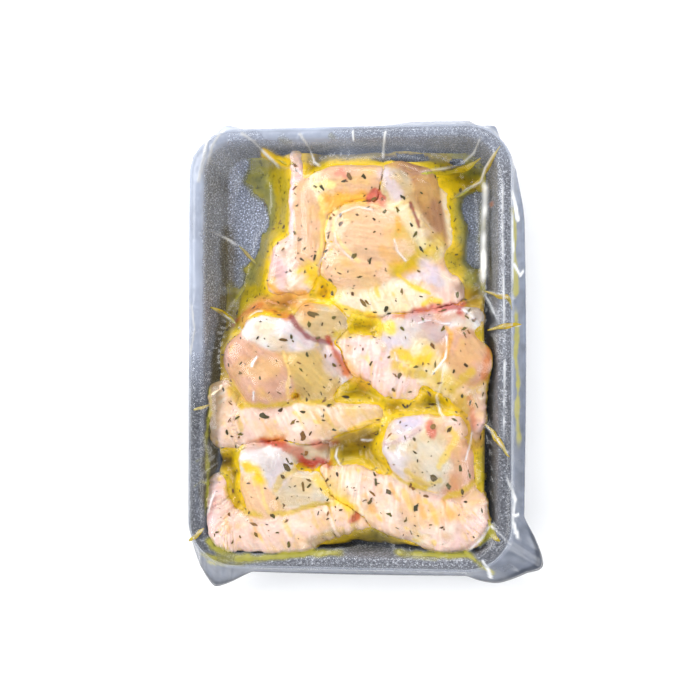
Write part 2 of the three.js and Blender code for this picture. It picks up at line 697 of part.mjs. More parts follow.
function makeFilm() {
  const grid = makeGrid(FILM_GRID, FILM_TOP_EDGE);
  const draped = drapedHeights();
  const heights = grid.points.map(([x, y]) => draped(x, y));
  for (const corner of grid.edge) heights[corner] = FILM_EDGE_TOP;
  clearFacets(grid, heights);
  fillHollows(heights);

  const count = grid.edge.length;
  const positions = [];
  const indices = [];
  grid.points.forEach(([x, y], n) => positions.push(x, y, heights[n]));
  grid.points.forEach(([x, y], n) => positions.push(x, y, heights[n] - FILM_THICK));
  for (const [a, b, c, d] of grid.cells) {
    indices.push(a, b, c, a, c, d);
    const under = grid.points.length;
    indices.push(a + under, c + under, b + under, a + under, d + under, c + under);
  }

  const addRing = (ring) => {
    const start = positions.length / 3;
    for (const [u, v] of grid.edgeAt) positions.push(...ontoRing(u, v, ring), ring[3]);
    return Array.from({ length: count }, (_, i) => start + i);
  };
  const addSeam = () => {
    const start = positions.length / 3;
    for (const [u, v] of grid.edgeAt) {
      const [x, y] = ontoRing(u, v, SEAM_RING);
      const inner = ontoRing(u, v, TRAY_INSIDE[0]);
      const out = seamReach(x, y) / Math.hypot(x - inner[0], y - inner[1]);
      const pull = earPull(x, y);
      positions.push(x + (x - inner[0]) * out + pull[0], y + (y - inner[1]) * out + pull[1]);
      positions.push(SEAM_HEIGHT + pull[2]);
    }
    return Array.from({ length: count }, (_, i) => start + i);
  };
  const loops = [
    grid.edge,
    addRing(FILM_SHOULDER),
    addSeam(),
    ...FILM_SKIRT.map(addRing),
    grid.edge.map((corner) => corner + grid.points.length),
  ];
  for (let r = 0; r + 1 < loops.length; r++)
    for (let i = 0; i < count; i++) {
      const next = (i + 1) % count;
      indices.push(loops[r][i], loops[r + 1][i], loops[r + 1][next]);
      indices.push(loops[r][i], loops[r + 1][next], loops[r][next]);
    }
  return geometryFrom(positions, indices);
}

// Finishes
const foam = new THREE.MeshStandardMaterial({ color: 0x7b7b84, roughness: 0.85, metalness: 0 });
const sauce = new THREE.MeshStandardMaterial({ color: 0xd2b41e, roughness: 0.25, metalness: 0 });
const meat = new THREE.MeshStandardMaterial({ color: 0xf1cdb4, roughness: 0.35, metalness: 0 });
const clear = new THREE.MeshStandardMaterial({
  color: 0xf4f8fa,
  roughness: 0.08,
  metalness: 0,
  transparent: true,
  opacity: 0.22,
});

const pack = new THREE.Group();

function addPiece(name, geometry, material) {
  const mesh = new THREE.Mesh(geometry, material);
  geometry.computeVertexNormals();
  mesh.name = name;
  pack.add(mesh);
}

addPiece("tray", makeTray(), foam);
addPiece("marinade", makeMarinade(FLAKE_SEED), sauce);
Object.keys(WINGS).forEach((name, i) => addPiece(name, makeWing(name, FLAKE_SEED + 1 + i), meat));
addPiece("film", makeFilm(), clear);

export default pack;
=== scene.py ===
"""Looks of a foam tray of marinated chicken wings in a clear pouch. Lengths are in millimetres."""

import math

import bpy
import numpy as np
from mathutils import Matrix, Vector
from mathutils.bvhtree import BVHTree


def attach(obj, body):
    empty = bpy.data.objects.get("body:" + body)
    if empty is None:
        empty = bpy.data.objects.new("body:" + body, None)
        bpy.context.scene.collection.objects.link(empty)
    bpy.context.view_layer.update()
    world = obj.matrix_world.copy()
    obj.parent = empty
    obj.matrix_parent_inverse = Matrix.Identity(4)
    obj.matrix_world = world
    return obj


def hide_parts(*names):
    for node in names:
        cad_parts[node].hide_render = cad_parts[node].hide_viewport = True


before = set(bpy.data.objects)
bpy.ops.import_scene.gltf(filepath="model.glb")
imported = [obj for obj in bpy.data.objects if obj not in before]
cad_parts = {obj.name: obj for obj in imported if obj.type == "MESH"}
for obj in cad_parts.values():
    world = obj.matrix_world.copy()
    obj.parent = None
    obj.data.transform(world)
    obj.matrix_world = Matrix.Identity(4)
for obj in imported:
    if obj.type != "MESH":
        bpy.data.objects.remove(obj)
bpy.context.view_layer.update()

MM = 0.001

# Sizes, as in the part. A ring is an inset along x, an inset along y, a corner radius and a height.
HALF_X, HALF_Y = 89.0, 120.5
TRAY_OUTSIDE = [(16.5, 12.5, 13, 0), (15.3, 11.6, 14, 0.5), (14.5, 11, 15, 2.2), (11, 8.5, 17.5, 12),
                (7.5, 6, 20, 22.5), (4.5, 3.8, 22, 23.2), (1.4, 1.4, 24, 24.0)]
TRAY_INSIDE = [(0.2, 0.2, 25, 25.4), (0, 0, 25, 27), (0.3, 0.3, 24.8, 28.4), (1.2, 1.2, 24, 29.4),
               (2.4, 2.4, 23, 29.9), (3.6, 3.4, 22, 30), (5.2, 4.6, 21, 29.9), (6.5, 5.5, 20, 29.4),
               (7.5, 6.2, 19.2, 28.4), (8.2, 6.8, 18.5, 26.8), (10, 8, 17, 21), (12, 9.2, 15.5, 14.6),
               (14, 10.4, 14, 8.8), (15.2, 11.4, 13, 6.2), (17, 13, 11, 4.6), (19.5, 15.5, 9, 4.2)]
RIM_EDGE, RIM_CREST, POOL_EDGE = (0, 0, 25), (2.4, 2.4, 23), (13.8, 10.4, 14.5)
FLOOR_TOP = 4.2
FOOT, FOOT_ROUND, RISE = 6.2, 5.0, 0.6
# The meat stays inside these rings: at the walls' foot and head, and where it leans over the rim
WALL_FOOT, WALL_HEAD, WALL_LIP = (16, 12, 12, 5.2), (8.2, 6.6, 18.5, 27.5), (4.0, 3.6, 22, 31.0)


def srgb(r, g, b):
    """A display colour from 0 to 255 as linear light."""
    c = np.array([r, g, b]) / 255.0
    return np.where(c <= 0.04045, c / 12.92, ((c + 0.055) / 1.055) ** 2.4)


SKIN = srgb(240, 208, 188)
SKIN_PINK = srgb(243, 206, 200)
CREAM = srgb(250, 236, 198)
FLESH = srgb(243, 198, 156)
FLESH_PALE = srgb(230, 184, 146)
FLESH_ROSE = srgb(219, 168, 140)
FLESH_GREY = srgb(200, 180, 148)
FLESH_BEIGE = srgb(212, 179, 110)
FLESH_DARK = srgb(174, 124, 84)
FAT = srgb(227, 215, 216)
WHITE = srgb(245, 241, 237)
LAVENDER = srgb(222, 208, 224)
MAUVE = srgb(206, 170, 170)
SUN = srgb(252, 208, 6)
PALE = srgb(223, 209, 186)
YELLOW = srgb(222, 186, 4)
GOLD = srgb(242, 174, 48)
MOSS = srgb(186, 168, 30)
OLIVE = srgb(208, 200, 62)
SMEAR = srgb(174, 167, 60)
STAIN_AND_SHADE = srgb(84, 74, 44)
RED = srgb(186, 58, 38)
WINE = srgb(140, 44, 44)
ROSE = srgb(222, 116, 96)
ORANGE = srgb(228, 164, 88)
RUST = srgb(214, 124, 48)
HERB = srgb(84, 76, 26)
BARK = srgb(124, 80, 34)
# The white of painted highlights
PAINTED_HIGHLIGHT = srgb(253, 254, 255)
BLUSH, COAT, FOLD = srgb(250, 204, 196), srgb(234, 188, 94), srgb(246, 206, 84)
FATTY, STAINED, HAZE_AND_SHEEN = srgb(255, 243, 226), srgb(244, 200, 112), srgb(208, 219, 242)
# Loose film in painted shade and in light, and the painted shadow at the seam
LOOSE_SHADED, LOOSE_LIT, SEAM_SHADOW = srgb(98, 106, 124), srgb(160, 169, 188), srgb(46, 52, 66)
SKIN_TONES = (SKIN, SKIN_PINK, CREAM)


def lobe(tone, start, end, start_radius, end_radius):
    """One rounded body of meat: a tone, two ends as x, y and top, and the radius at each."""
    return {"tone": tone, "a": start, "b": end, "ra": start_radius, "rb": end_radius}


WINGS = {
    "wing_1": [
        lobe(SKIN_PINK, (-31, 107, 22), (-29, 82, 25), 3.5, 3.5),
        lobe(SKIN_PINK, (-29, 82, 25), (-31, 57, 26), 3.5, 4.5),
        lobe(SKIN, (-38, 55, 25), (-40, 36, 26), 5, 7),
        lobe(SKIN, (-31, 53, 26), (-27, 37, 28), 5, 7.5),
        lobe(FLESH_PALE, (-20, 85, 30), (-19, 52, 31), 9, 10),
        lobe(FLESH_PALE, (-7, 91, 33), (12, 91, 34), 9.5, 9),
        lobe(CREAM, (-16, 90, 31), (-11, 85, 32), 5.5, 6),
        lobe(GOLD, (-10, 80, 30), (10, 80, 30), 6.5, 6),
    ],
    "wing_2": [
        lobe(FLESH, (7, 62, 37), (21, 60, 37), 20, 17.5),
        lobe(FLESH, (-3, 45, 34), (12, 44, 34), 11.5, 11.5),
        lobe(FLESH_GREY, (25, 88, 34), (28, 83, 34), 8.5, 8.5),
        lobe(FLESH_DARK, (28, 96, 30), (40, 91, 29), 6.5, 7.5),
        lobe(FLESH_DARK, (38, 85, 31), (44, 59, 29), 10, 9.5),
        lobe(CREAM, (29, 76, 34), (45, 53, 31), 6.5, 6),
        lobe(FLESH_PALE, (29, 46, 30), (45, 43, 29), 10, 7.5),
        lobe(CREAM, (1, 27, 29), (8, 27, 29), 8.5, 9),
        lobe(CREAM, (18, 27, 31), (40, 27, 31), 10, 10),
        lobe(SKIN, (44, 34, 31), (54, 31, 29), 11, 9.5),
        lobe(CREAM, (51, 83, 23), (54, 59, 24), 2.8, 3.2),
    ],
    "wing_3": [
        lobe(SKIN, (-72, -27, 28), (-70, -45, 29.5), 9, 11),
        lobe(SKIN, (-60, -42, 29), (-23, -41, 30), 11.5, 11.5),
        lobe(SKIN, (-23, -41, 30), (14, -37, 26), 11.5, 5.5),
        lobe(FLESH_ROSE, (-56, -6, 33), (-46, -18, 36), 15, 15.5),
        lobe(FLESH_BEIGE, (-26, -10, 32), (-17, -19, 31), 12, 11),
        lobe(WHITE, (-50, 10, 33), (-43, 8, 34), 8.5, 8.5),
        lobe(FAT, (-33, 7, 33), (-27, 4, 32), 8.5, 7.5),
        lobe(FAT, (-7, -4, 28), (-4, -15, 25), 5, 4.5),
        lobe(FLESH_GREY, (-21, 15, 31), (-12, 14, 31), 9.5, 9.5),
    ],
    "wing_4": [
        lobe(SKIN_PINK, (-6, 3, 27), (10, -5, 30), 6, 10),
        lobe(SKIN_PINK, (10, -5, 30), (25, -16, 31), 10, 10.5),
        lobe(SKIN, (25, -16, 31), (33, -23, 28), 10.5, 6),
        lobe(FAT, (27, 10, 32), (30, 2, 32), 8.5, 8.5),
        lobe(FAT, (40, 11, 32), (50, 11, 32), 8.5, 8.5),
        lobe(CREAM, (40, -3, 32), (50, -15, 31), 9.5, 9.5),
        lobe(FLESH_ROSE, (60, 1, 33), (67, -8, 33), 10.5, 12),
        lobe(WHITE, (58, 16, 31), (69, 16, 30), 5, 5.5),
        lobe(SKIN, (58, -22, 28), (63, -29, 26), 6.5, 5.5),
        lobe(SKIN_PINK, (72, -19, 24), (70, -40, 23), 4, 4),
        lobe(SKIN_PINK, (70, -40, 23), (66, -57, 21), 4, 3.5),
    ],
    "wing_5": [
        lobe(SKIN_PINK, (-74, -75, 27), (-76, -85, 28), 5, 7),
        lobe(SKIN_PINK, (-74, -90, 28), (-71, -104, 30), 8.5, 12.5),
        lobe(SKIN, (-67, -104, 30), (-33, -103, 31.5), 13, 14),
        lobe(SKIN, (-31, -100, 31), (-6, -94, 28), 13.5, 8.5),
        lobe(SKIN, (-6, -94, 28), (7, -95, 25), 8.5, 4.5),
        lobe(WHITE, (-54, -63, 33), (-46, -63, 34), 7.5, 7.5),
        lobe(FAT, (-40, -64, 33), (-39, -72, 33), 7.5, 7),
        lobe(FLESH, (-52, -76, 32), (-48, -85, 33), 9, 9.5),
        lobe(PALE, (-33, -77, 32), (-21, -78, 31), 10, 8.5),
        lobe(FLESH_GREY, (-36, -57, 28), (-17, -58, 27), 6, 6),
    ],
    "wing_6": [
        lobe(SKIN, (-13, -70, 26), (3, -76, 29), 5.5, 10),
        lobe(SKIN, (3, -76, 29), (27, -87, 32), 10, 15),
        lobe(SKIN, (27, -87, 32), (50, -96, 32), 15, 15),
        lobe(SKIN_PINK, (50, -96, 32), (63, -99, 30), 15, 12),
        lobe(SKIN_PINK, (69, -83, 28), (67, -93, 29), 6.5, 10),
        lobe(FAT, (27, -55, 33), (32, -59, 35), 8.5, 11),
        lobe(LAVENDER, (29, -45, 32), (36, -45, 33), 7, 7.5),
        lobe(SKIN, (45, -43, 31), (57, -45, 31), 6.5, 7),
        lobe(PALE, (40, -56, 36), (47, -63, 36), 14.5, 13.5),
        lobe(FLESH_ROSE, (58, -60, 34), (59, -71, 32), 10.5, 10),
    ],
}
ALL_LOBES = [part for parts in WINGS.values() for part in parts]
# Patches of floor with little marinade: centre, half sizes, how far the marinade sinks
BARE_FLOOR = [(-70, 68, 22, 28, 2.4), (66, 78, 8.5, 12, 1.5), (68, 58, 6, 18, 1.1), (12, -114, 22, 7, 2.4),
              (30, 105, 15, 3.2, 2.4), (-80, 103, 19, 15, 2.4), (58, 103.5, 5, 2.2, 2.4)]

# The photograph's camera
TILT_X, TILT_Y, ROLL = 0.158825, 0.022166, -0.001047
AIM = np.array([-0.29, -1.34, 20.0])
DISTANCE, FOCAL_PX, FRAME_PX, SENSOR = 850.0, 1535.7, 700, 36
BACK = np.array([math.sin(TILT_X), -math.sin(TILT_Y), 1.0])
BACK /= np.linalg.norm(BACK)
RIGHT = np.cross([math.sin(ROLL), math.cos(ROLL), 0.0], BACK)
RIGHT /= np.linalg.norm(RIGHT)
UP = np.cross(BACK, RIGHT)
EYE = AIM + BACK * DISTANCE
MARK_HEIGHT = 28.0


def place(px, py):
    """Where the line of sight through a pixel of the photograph meets the height of the marks."""
    ray = RIGHT * (px - FRAME_PX / 2) / FOCAL_PX - UP * (py - FRAME_PX / 2) / FOCAL_PX - BACK
    hit = EYE + ray * ((MARK_HEIGHT - EYE[2]) / ray[2])
    return hit[0], hit[1]


def strokes(rows):
    """Rows that start with a path of pixels, with the path turned into points of the scene."""
    return [(np.array([place(*map(int, pixel.split(","))) for pixel in path.split()]), *rest)
            for path, *rest in rows]


# Fields
def clamp01(t):
    return np.clip(t, 0.0, 1.0)


def smooth(t):
    """A smooth step from 0 to 1."""
    t = clamp01(t)
    return t * t * (3 - 2 * t)


def between(a, b, t):
    return a + (b - a) * t


def tinted(colour, tone, share):
    return colour + (tone - colour) * share[:, None]


def smooth_min(a, b, width):
    """The smaller of two values, with the corner between them rounded over a width."""
    blend = np.maximum(width - np.abs(a - b), 0) / width
    return np.minimum(a, b) - blend * blend * width / 4


def hashed(i, j, k, seed):
    """A repeatable value from 0 to 1 for each cell of a grid."""
    n = (i * 374761393 + j * 668265263 + k * 1442695041 + seed * 97531) & 0xFFFFFFFF
    n = ((n ^ (n >> 13)) * 1274126177) & 0xFFFFFFFF
    n = ((n ^ (n >> 16)) * 2246822519) & 0xFFFFFFFF
    return (n ^ (n >> 15)) / 4294967295.0


def noise(x, y, z, size, seed):
    """Smooth value noise from -1 to 1 with features of the given size."""
    x, y, z = np.broadcast_arrays(np.asarray(x, float), np.asarray(y, float), np.asarray(z, float))
    cells = [np.floor(v / size).astype(np.int64) for v in (x, y, z)]
    f = [smooth(v / size - c) for v, c in zip((x, y, z), cells)]
    total = 0.0
    for c in range(8):
        bits = (c & 1, (c >> 1) & 1, (c >> 2) & 1)
        weight = 1.0
        for bit, share in zip(bits, f):
            weight = weight * (share if bit else 1 - share)
        total = total + weight * hashed(*[cell + bit for cell, bit in zip(cells, bits)], seed)
    return total * 2 - 1


def fractal(x, y, z, size, seed):
    """Three octaves of noise, each half the size of the one before."""
    total = sum(0.5**n * noise(x, y, z, size / 2**n, seed + n) for n in range(3))
    return total / 1.75


def ring_distance(ring, x, y):
    """Distance in plan from a rounded rectangle, below zero inside it."""
    dx = np.abs(x) - (HALF_X - ring[0] - ring[2])
    dy = np.abs(y) - (HALF_Y - ring[1] - ring[2])
    outside = np.hypot(np.maximum(dx, 0), np.maximum(dy, 0))
    return outside + np.minimum(np.maximum(dx, dy), 0) - ring[2]


def tray_height(x, y):
    """Height of the tray's upper side, between the rings that it runs through."""
    rings = TRAY_INSIDE[1:]
    outer = ring_distance(rings[0], x, y)
    done = outer > 0
    height = np.where(done, rings[0][3], FLOOR_TOP)
    for before, ring in zip(rings, rings[1:]):
        inner = ring_distance(ring, x, y)
        here = (inner > 0) & ~done
        t = clamp01(-outer / np.maximum(inner - outer, 1e-6))
        height[here] = between(before[3], ring[3], t)[here]
        done |= here
        outer = inner
    return height


def lobe_plan(part, x, y):
    """In plan, a lobe's radius beside each place, how many radii away it is, and its top there."""
    (ax, ay, at), (bx, by, bt) = part["a"], part["b"]
    dx, dy = bx - ax, by - ay
    t = clamp01(((x - ax) * dx + (y - ay) * dy) / (dx * dx + dy * dy))
    radius = between(part["ra"], part["rb"], t)
    away = np.hypot(x - ax - t * dx, y - ay - t * dy)
    return radius, away / radius, between(at, bt, t)


def lobe_distance(part, x, y, z):
    """Roughly how far a place is from a lobe's surface, below zero inside it."""
    radius, share, top = lobe_plan(part, x, y)
    rise = RISE * radius
    above = np.maximum(z - (top - rise), 0) / rise
    below = np.maximum(FOOT + FOOT_ROUND - z, 0) / (2 * FOOT_ROUND)
    return (np.sqrt(share**2 + above**2 + below**2) - 1) * np.minimum(radius, rise * 1.2)


def lobes_top(x, y):
    """Height of the highest lobe over each place, or 0 where there is none."""
    height = np.zeros(np.shape(x))
    for part in ALL_LOBES:
        radius, share, top = lobe_plan(part, x, y)
        crown = top - RISE * radius * (1 - np.sqrt(np.maximum(1 - share**2, 0)))
        height = np.where(share < 1, np.maximum(height, crown), height)
    return height


def lobes_apart(x, y):
    """How far off the nearest wing and the second nearest are, and the nearest one's shoulder height."""
    first, second, shoulder = (np.full(np.shape(x), value) for value in (1e3, 1e3, 20.0))
    for lobes in WINGS.values():
        own = np.full(np.shape(x), 1e3)
        for part in lobes:
            radius, share, top = lobe_plan(part, x, y)
            away = (share - 1) * radius
            shoulder = np.where(away < np.minimum(own, first), top - RISE * radius, shoulder)
            own = np.minimum(own, away)
        second = np.minimum(second, np.maximum(first, own))
        first = np.minimum(first, own)
    return first, second, shoulder


def near_line(x, y, points, reach):
    """Which places are within a line's box, grown by a reach."""
    low, high = points.min(axis=0) - reach, points.max(axis=0) + reach
    return (x > low[0]) & (x < high[0]) & (y > low[1]) & (y < high[1])


def line_distance(x, y, points):
    """Distance in plan from a line of points, and how far along it the nearest place is, 0 to 1."""
    best = np.full(np.shape(x), 1e6)
    along = np.zeros(np.shape(x))
    steps = np.hypot(*np.diff(points, axis=0).T)
    total, run = steps.sum(), 0.0
    for a, b, step in zip(points, points[1:], steps):
        d = b - a
        t = clamp01(((x - a[0]) * d[0] + (y - a[1]) * d[1]) / (step * step + 1e-9))
        away = np.hypot(x - a[0] - t * d[0], y - a[1] - t * d[1])
        along = np.where(away < best, (run + t * step) / total, along)
        best = np.minimum(best, away)
        run += step
    return best, along


# Meshes
def add_mesh(name, points, faces, replaced, material, colours, smooth_faces=True):
    """A piece from points in millimetres. Colours are one value or three for each point."""
    mesh = bpy.data.meshes.new(name)
    mesh.from_pydata((points * MM).tolist(), [], faces)
    mesh.validate()
    for key, values in colours.items():
        rgba = np.ones((len(points), 4), np.float32)
        rgba[:, :3] = values if values.ndim == 2 else values[:, None]
        mesh.attributes.new(key, "FLOAT_COLOR", "POINT").data.foreach_set("color", rgba.ravel())
    if smooth_faces:
        mesh.polygons.foreach_set("use_smooth", np.ones(len(mesh.polygons), bool))
    mesh.materials.append(material)
    mesh.update()
    piece = bpy.data.objects.new(name, mesh)
    bpy.context.scene.collection.objects.link(piece)
    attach(piece, "root")
    if replaced:
        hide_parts(replaced)
    return piece


def surface_net(values, low, cell):
    """Quads round the places where values change sign, with one vertex in each crossed cell."""
    shape = np.array(values.shape) - 1
    inside = values < 0
    total = np.zeros((*shape, 3))
    count = np.zeros(shape)

    def corner(array, bits):
        return array[tuple(slice(b, n + b) for b, n in zip(bits, shape))]

    for axis in range(3):
        for c in range(8):
            bits = [(c >> n) & 1 for n in range(3)]
            if bits[axis]:
                continue
            far = list(bits)
            far[axis] = 1
            va, vb = corner(values, bits), corner(values, far)
            crossed = corner(inside, bits) != corner(inside, far)
            t = np.where(crossed, va / np.where(crossed, va - vb, 1), 0)
            for n in range(3):
                total[..., n] += np.where(crossed, bits[n] + (t if n == axis else 0), 0)
            count += crossed
    live = count > 0
    index = np.full(shape, -1)
    index[live] = np.arange(live.sum())
    where = np.argwhere(live)
    points = np.asarray(low) + (where + total[live] / count[live][:, None]) * cell
    faces = []
    for axis in range(3):
        a = [slice(1, -1)] * 3
        b = list(a)
        b[axis] = slice(2, None)
        at = np.argwhere(inside[tuple(a)] != inside[tuple(b)]) + 1
        out = inside[tuple(at.T)]
        u, v = np.eye(3, dtype=int)[(axis + 1) % 3], np.eye(3, dtype=int)[(axis + 2) % 3]
        quad = np.stack([index[tuple((at - s).T)] for s in (u + v, v, 0 * u, u)], axis=1)
        quad[~out] = quad[~out][:, ::-1]
        faces.append(quad)
    return points, np.concatenate(faces)


def summed(index, values, count):
    """The rows of values, added up by index."""
    return np.stack([np.bincount(index, weights=column, minlength=count) for column in values.T], axis=1)


def relax(points, faces):
    """Move each point some way towards the mean of its neighbours, twice."""
    a = faces.ravel()
    b = np.roll(faces, -1, axis=1).ravel()
    here, there = np.concatenate([a, b]), np.concatenate([b, a])
    degree = np.bincount(here, minlength=len(points))[:, None]
    for _ in range(2):
        points = points + (summed(here, points[there], len(points)) / degree - points) * RELAX_SHARE
    return points


def subdivided(points, faces):
    """One Catmull-Clark step on a closed mesh of quads."""
    count = len(points)
    face_points = points[faces].mean(axis=1)
    a, b = faces, np.roll(faces, -1, axis=1)
    low, high = np.minimum(a, b).ravel(), np.maximum(a, b).ravel()
    keys, inverse = np.unique(low * np.int64(count) + high, return_inverse=True)
    ends = np.stack([keys // count, keys % count], axis=1)
    spread = np.repeat(face_points, 4, axis=0)
    sides = np.bincount(inverse, minlength=len(keys))[:, None]
    middles = points[ends].mean(axis=1)
    edge_points = (middles * 2 + summed(inverse, spread, len(keys))) / (2 + sides)
    valence = np.bincount(faces.ravel(), minlength=count)[:, None]
    q = summed(faces.ravel(), spread, count) / valence
    r = summed(ends.ravel(), np.repeat(middles, 2, axis=0), count)
    r = r / np.bincount(ends.ravel(), minlength=count)[:, None]
    moved = (q + 2 * r + (valence - 3) * points) / valence
    edge_at = count + inverse.reshape(-1, 4)
    face_at = count + len(keys) + np.arange(len(faces))
    quads = [np.stack([faces[:, n], edge_at[:, n], face_at, edge_at[:, n - 1]], axis=1) for n in range(4)]
    return np.concatenate([moved, edge_points, face_points]), np.concatenate(quads)


def normals_of(points, faces):
    """The normal at each point of a mesh of quads."""
    corner = points[faces]
    face_normal = np.cross(corner[:, 2] - corner[:, 0], corner[:, 3] - corner[:, 1])
    total = summed(faces.ravel(), np.repeat(face_normal, 4, axis=0), len(points))
    return total / np.maximum(np.linalg.norm(total, axis=1, keepdims=True), 1e-9)


def grid_quads(shape, keep=...):
    """Quads between the points of a grid, or only those to keep."""
    index = np.arange(shape[0] * shape[1]).reshape(shape)
    corners = (index[:-1, :-1], index[1:, :-1], index[1:, 1:], index[:-1, 1:])
    return np.stack([corner[keep].ravel() for corner in corners], axis=1)


def joined_tree(pieces):
    """One search tree for the surfaces of several pieces."""
    points, faces = [], []
    for piece in pieces:
        start = len(points)
        points += [tuple(v.co) for v in piece.data.vertices]
        faces += [tuple(start + i for i in p.vertices) for p in piece.data.polygons]
    return BVHTree.FromPolygons(points, faces)


def cast_down(tree, x, y):
    """Where a vertical line from above first meets a surface, in metres, and the normal there."""
    return tree.ray_cast(Vector((x * MM, y * MM, 0.08)), Vector((0, 0, -1)))[:2]


# Film heights on a regular grid
STEP = 1.5
GRID_X = np.arange(-HALF_X, HALF_X + STEP, STEP)
GRID_Y = np.arange(-HALF_Y, HALF_Y + STEP, STEP)
GX, GY = np.meshgrid(GRID_X, GRID_Y, indexing="ij")
FILM_CLEAR, FILM_PULL, FILM_LOWEST, DRAPE_ROUNDS = 0.9, 0.16, 26.0, 500


def grid_value(grid, x, y):
    """A regular grid's value between its points."""
    fx = np.clip((x + HALF_X) / STEP, 0, grid.shape[0] - 1.001)
    fy = np.clip((y + HALF_Y) / STEP, 0, grid.shape[1] - 1.001)
    i, j = fx.astype(int), fy.astype(int)
    u, v = fx - i, fy - j
    near = grid[i, j] * (1 - u) + grid[i + 1, j] * u
    far = grid[i, j + 1] * (1 - u) + grid[i + 1, j + 1] * u
    return near * (1 - v) + far * v


def around(grid):
    """The mean of each inner point's four neighbours."""
    return (grid[:-2, 1:-1] + grid[2:, 1:-1] + grid[1:-1, :-2] + grid[1:-1, 2:]) / 4


APART, NEXT_APART, SHOULDER = lobes_apart(GX, GY)
for _ in range(16):
    SHOULDER[1:-1, 1:-1] = around(SHOULDER)
WING_TOP = lobes_top(GX, GY)
TRAY_TOP = tray_height(GX, GY)


def draped():
    """The film's height: a sheet pulled tight over the meat, the marinade and the rim."""
    rest = ring_distance(RIM_CREST, GX, GY) > 0
    pool = FLOOR_TOP + 1.2 + (SHOULDER - FLOOR_TOP - 2) * np.exp(-((np.maximum(APART, 0) / 8.0) ** 2))
    support = np.maximum(np.maximum(WING_TOP, TRAY_TOP), pool) + FILM_CLEAR
    support = np.where(rest, TRAY_TOP + 0.7, support)
    height = np.maximum(support, FILM_LOWEST)
    sag = FILM_PULL * STEP * STEP / 4
    for _ in range(DRAPE_ROUNDS):
        height[1:-1, 1:-1] = np.maximum(support[1:-1, 1:-1], around(height) - sag)
        height[rest] = support[rest]
    return height


FILM = draped()


def pool_height(x, y):
    """Top of the marinade: up to the film among the wings, and thin towards the walls."""
    apart = np.maximum(grid_value(APART, x, y), 0)
    wobble = fractal(x, y, 0, 14, 11)
    film = grid_value(FILM, x, y) - 0.7
    shoulder = grid_value(SHOULDER, x, y)
    narrow = smooth((7 - grid_value(NEXT_APART, x, y)) / 5)
    deep = (shoulder - 0.9 + 2.4 * narrow - FLOOR_TOP) * np.exp(-((apart / (9.5 + 2.5 * wobble)) ** 2))
    thin = 1.0 + 0.7 * fractal(x, y, 0, 22, 12)
    for ax, ay, rx, ry, sunk in BARE_FLOOR:
        away = np.hypot((x - ax) / rx, (y - ay) / ry) + 0.42 * fractal(x, y, 0, 12, 13)
        thin = thin - sunk * smooth((1.16 - away) / 0.45)
        deep = deep * smooth((away - 0.72) / 0.4)
    edge = smooth((-ring_distance(POOL_EDGE, x, y) + 0.7 * wobble) / 2.0)
    foot = np.minimum(tray_height(x, y), 6.8)
    return np.minimum(film, foot - 0.6 + (deep + thin + 0.6) * edge)
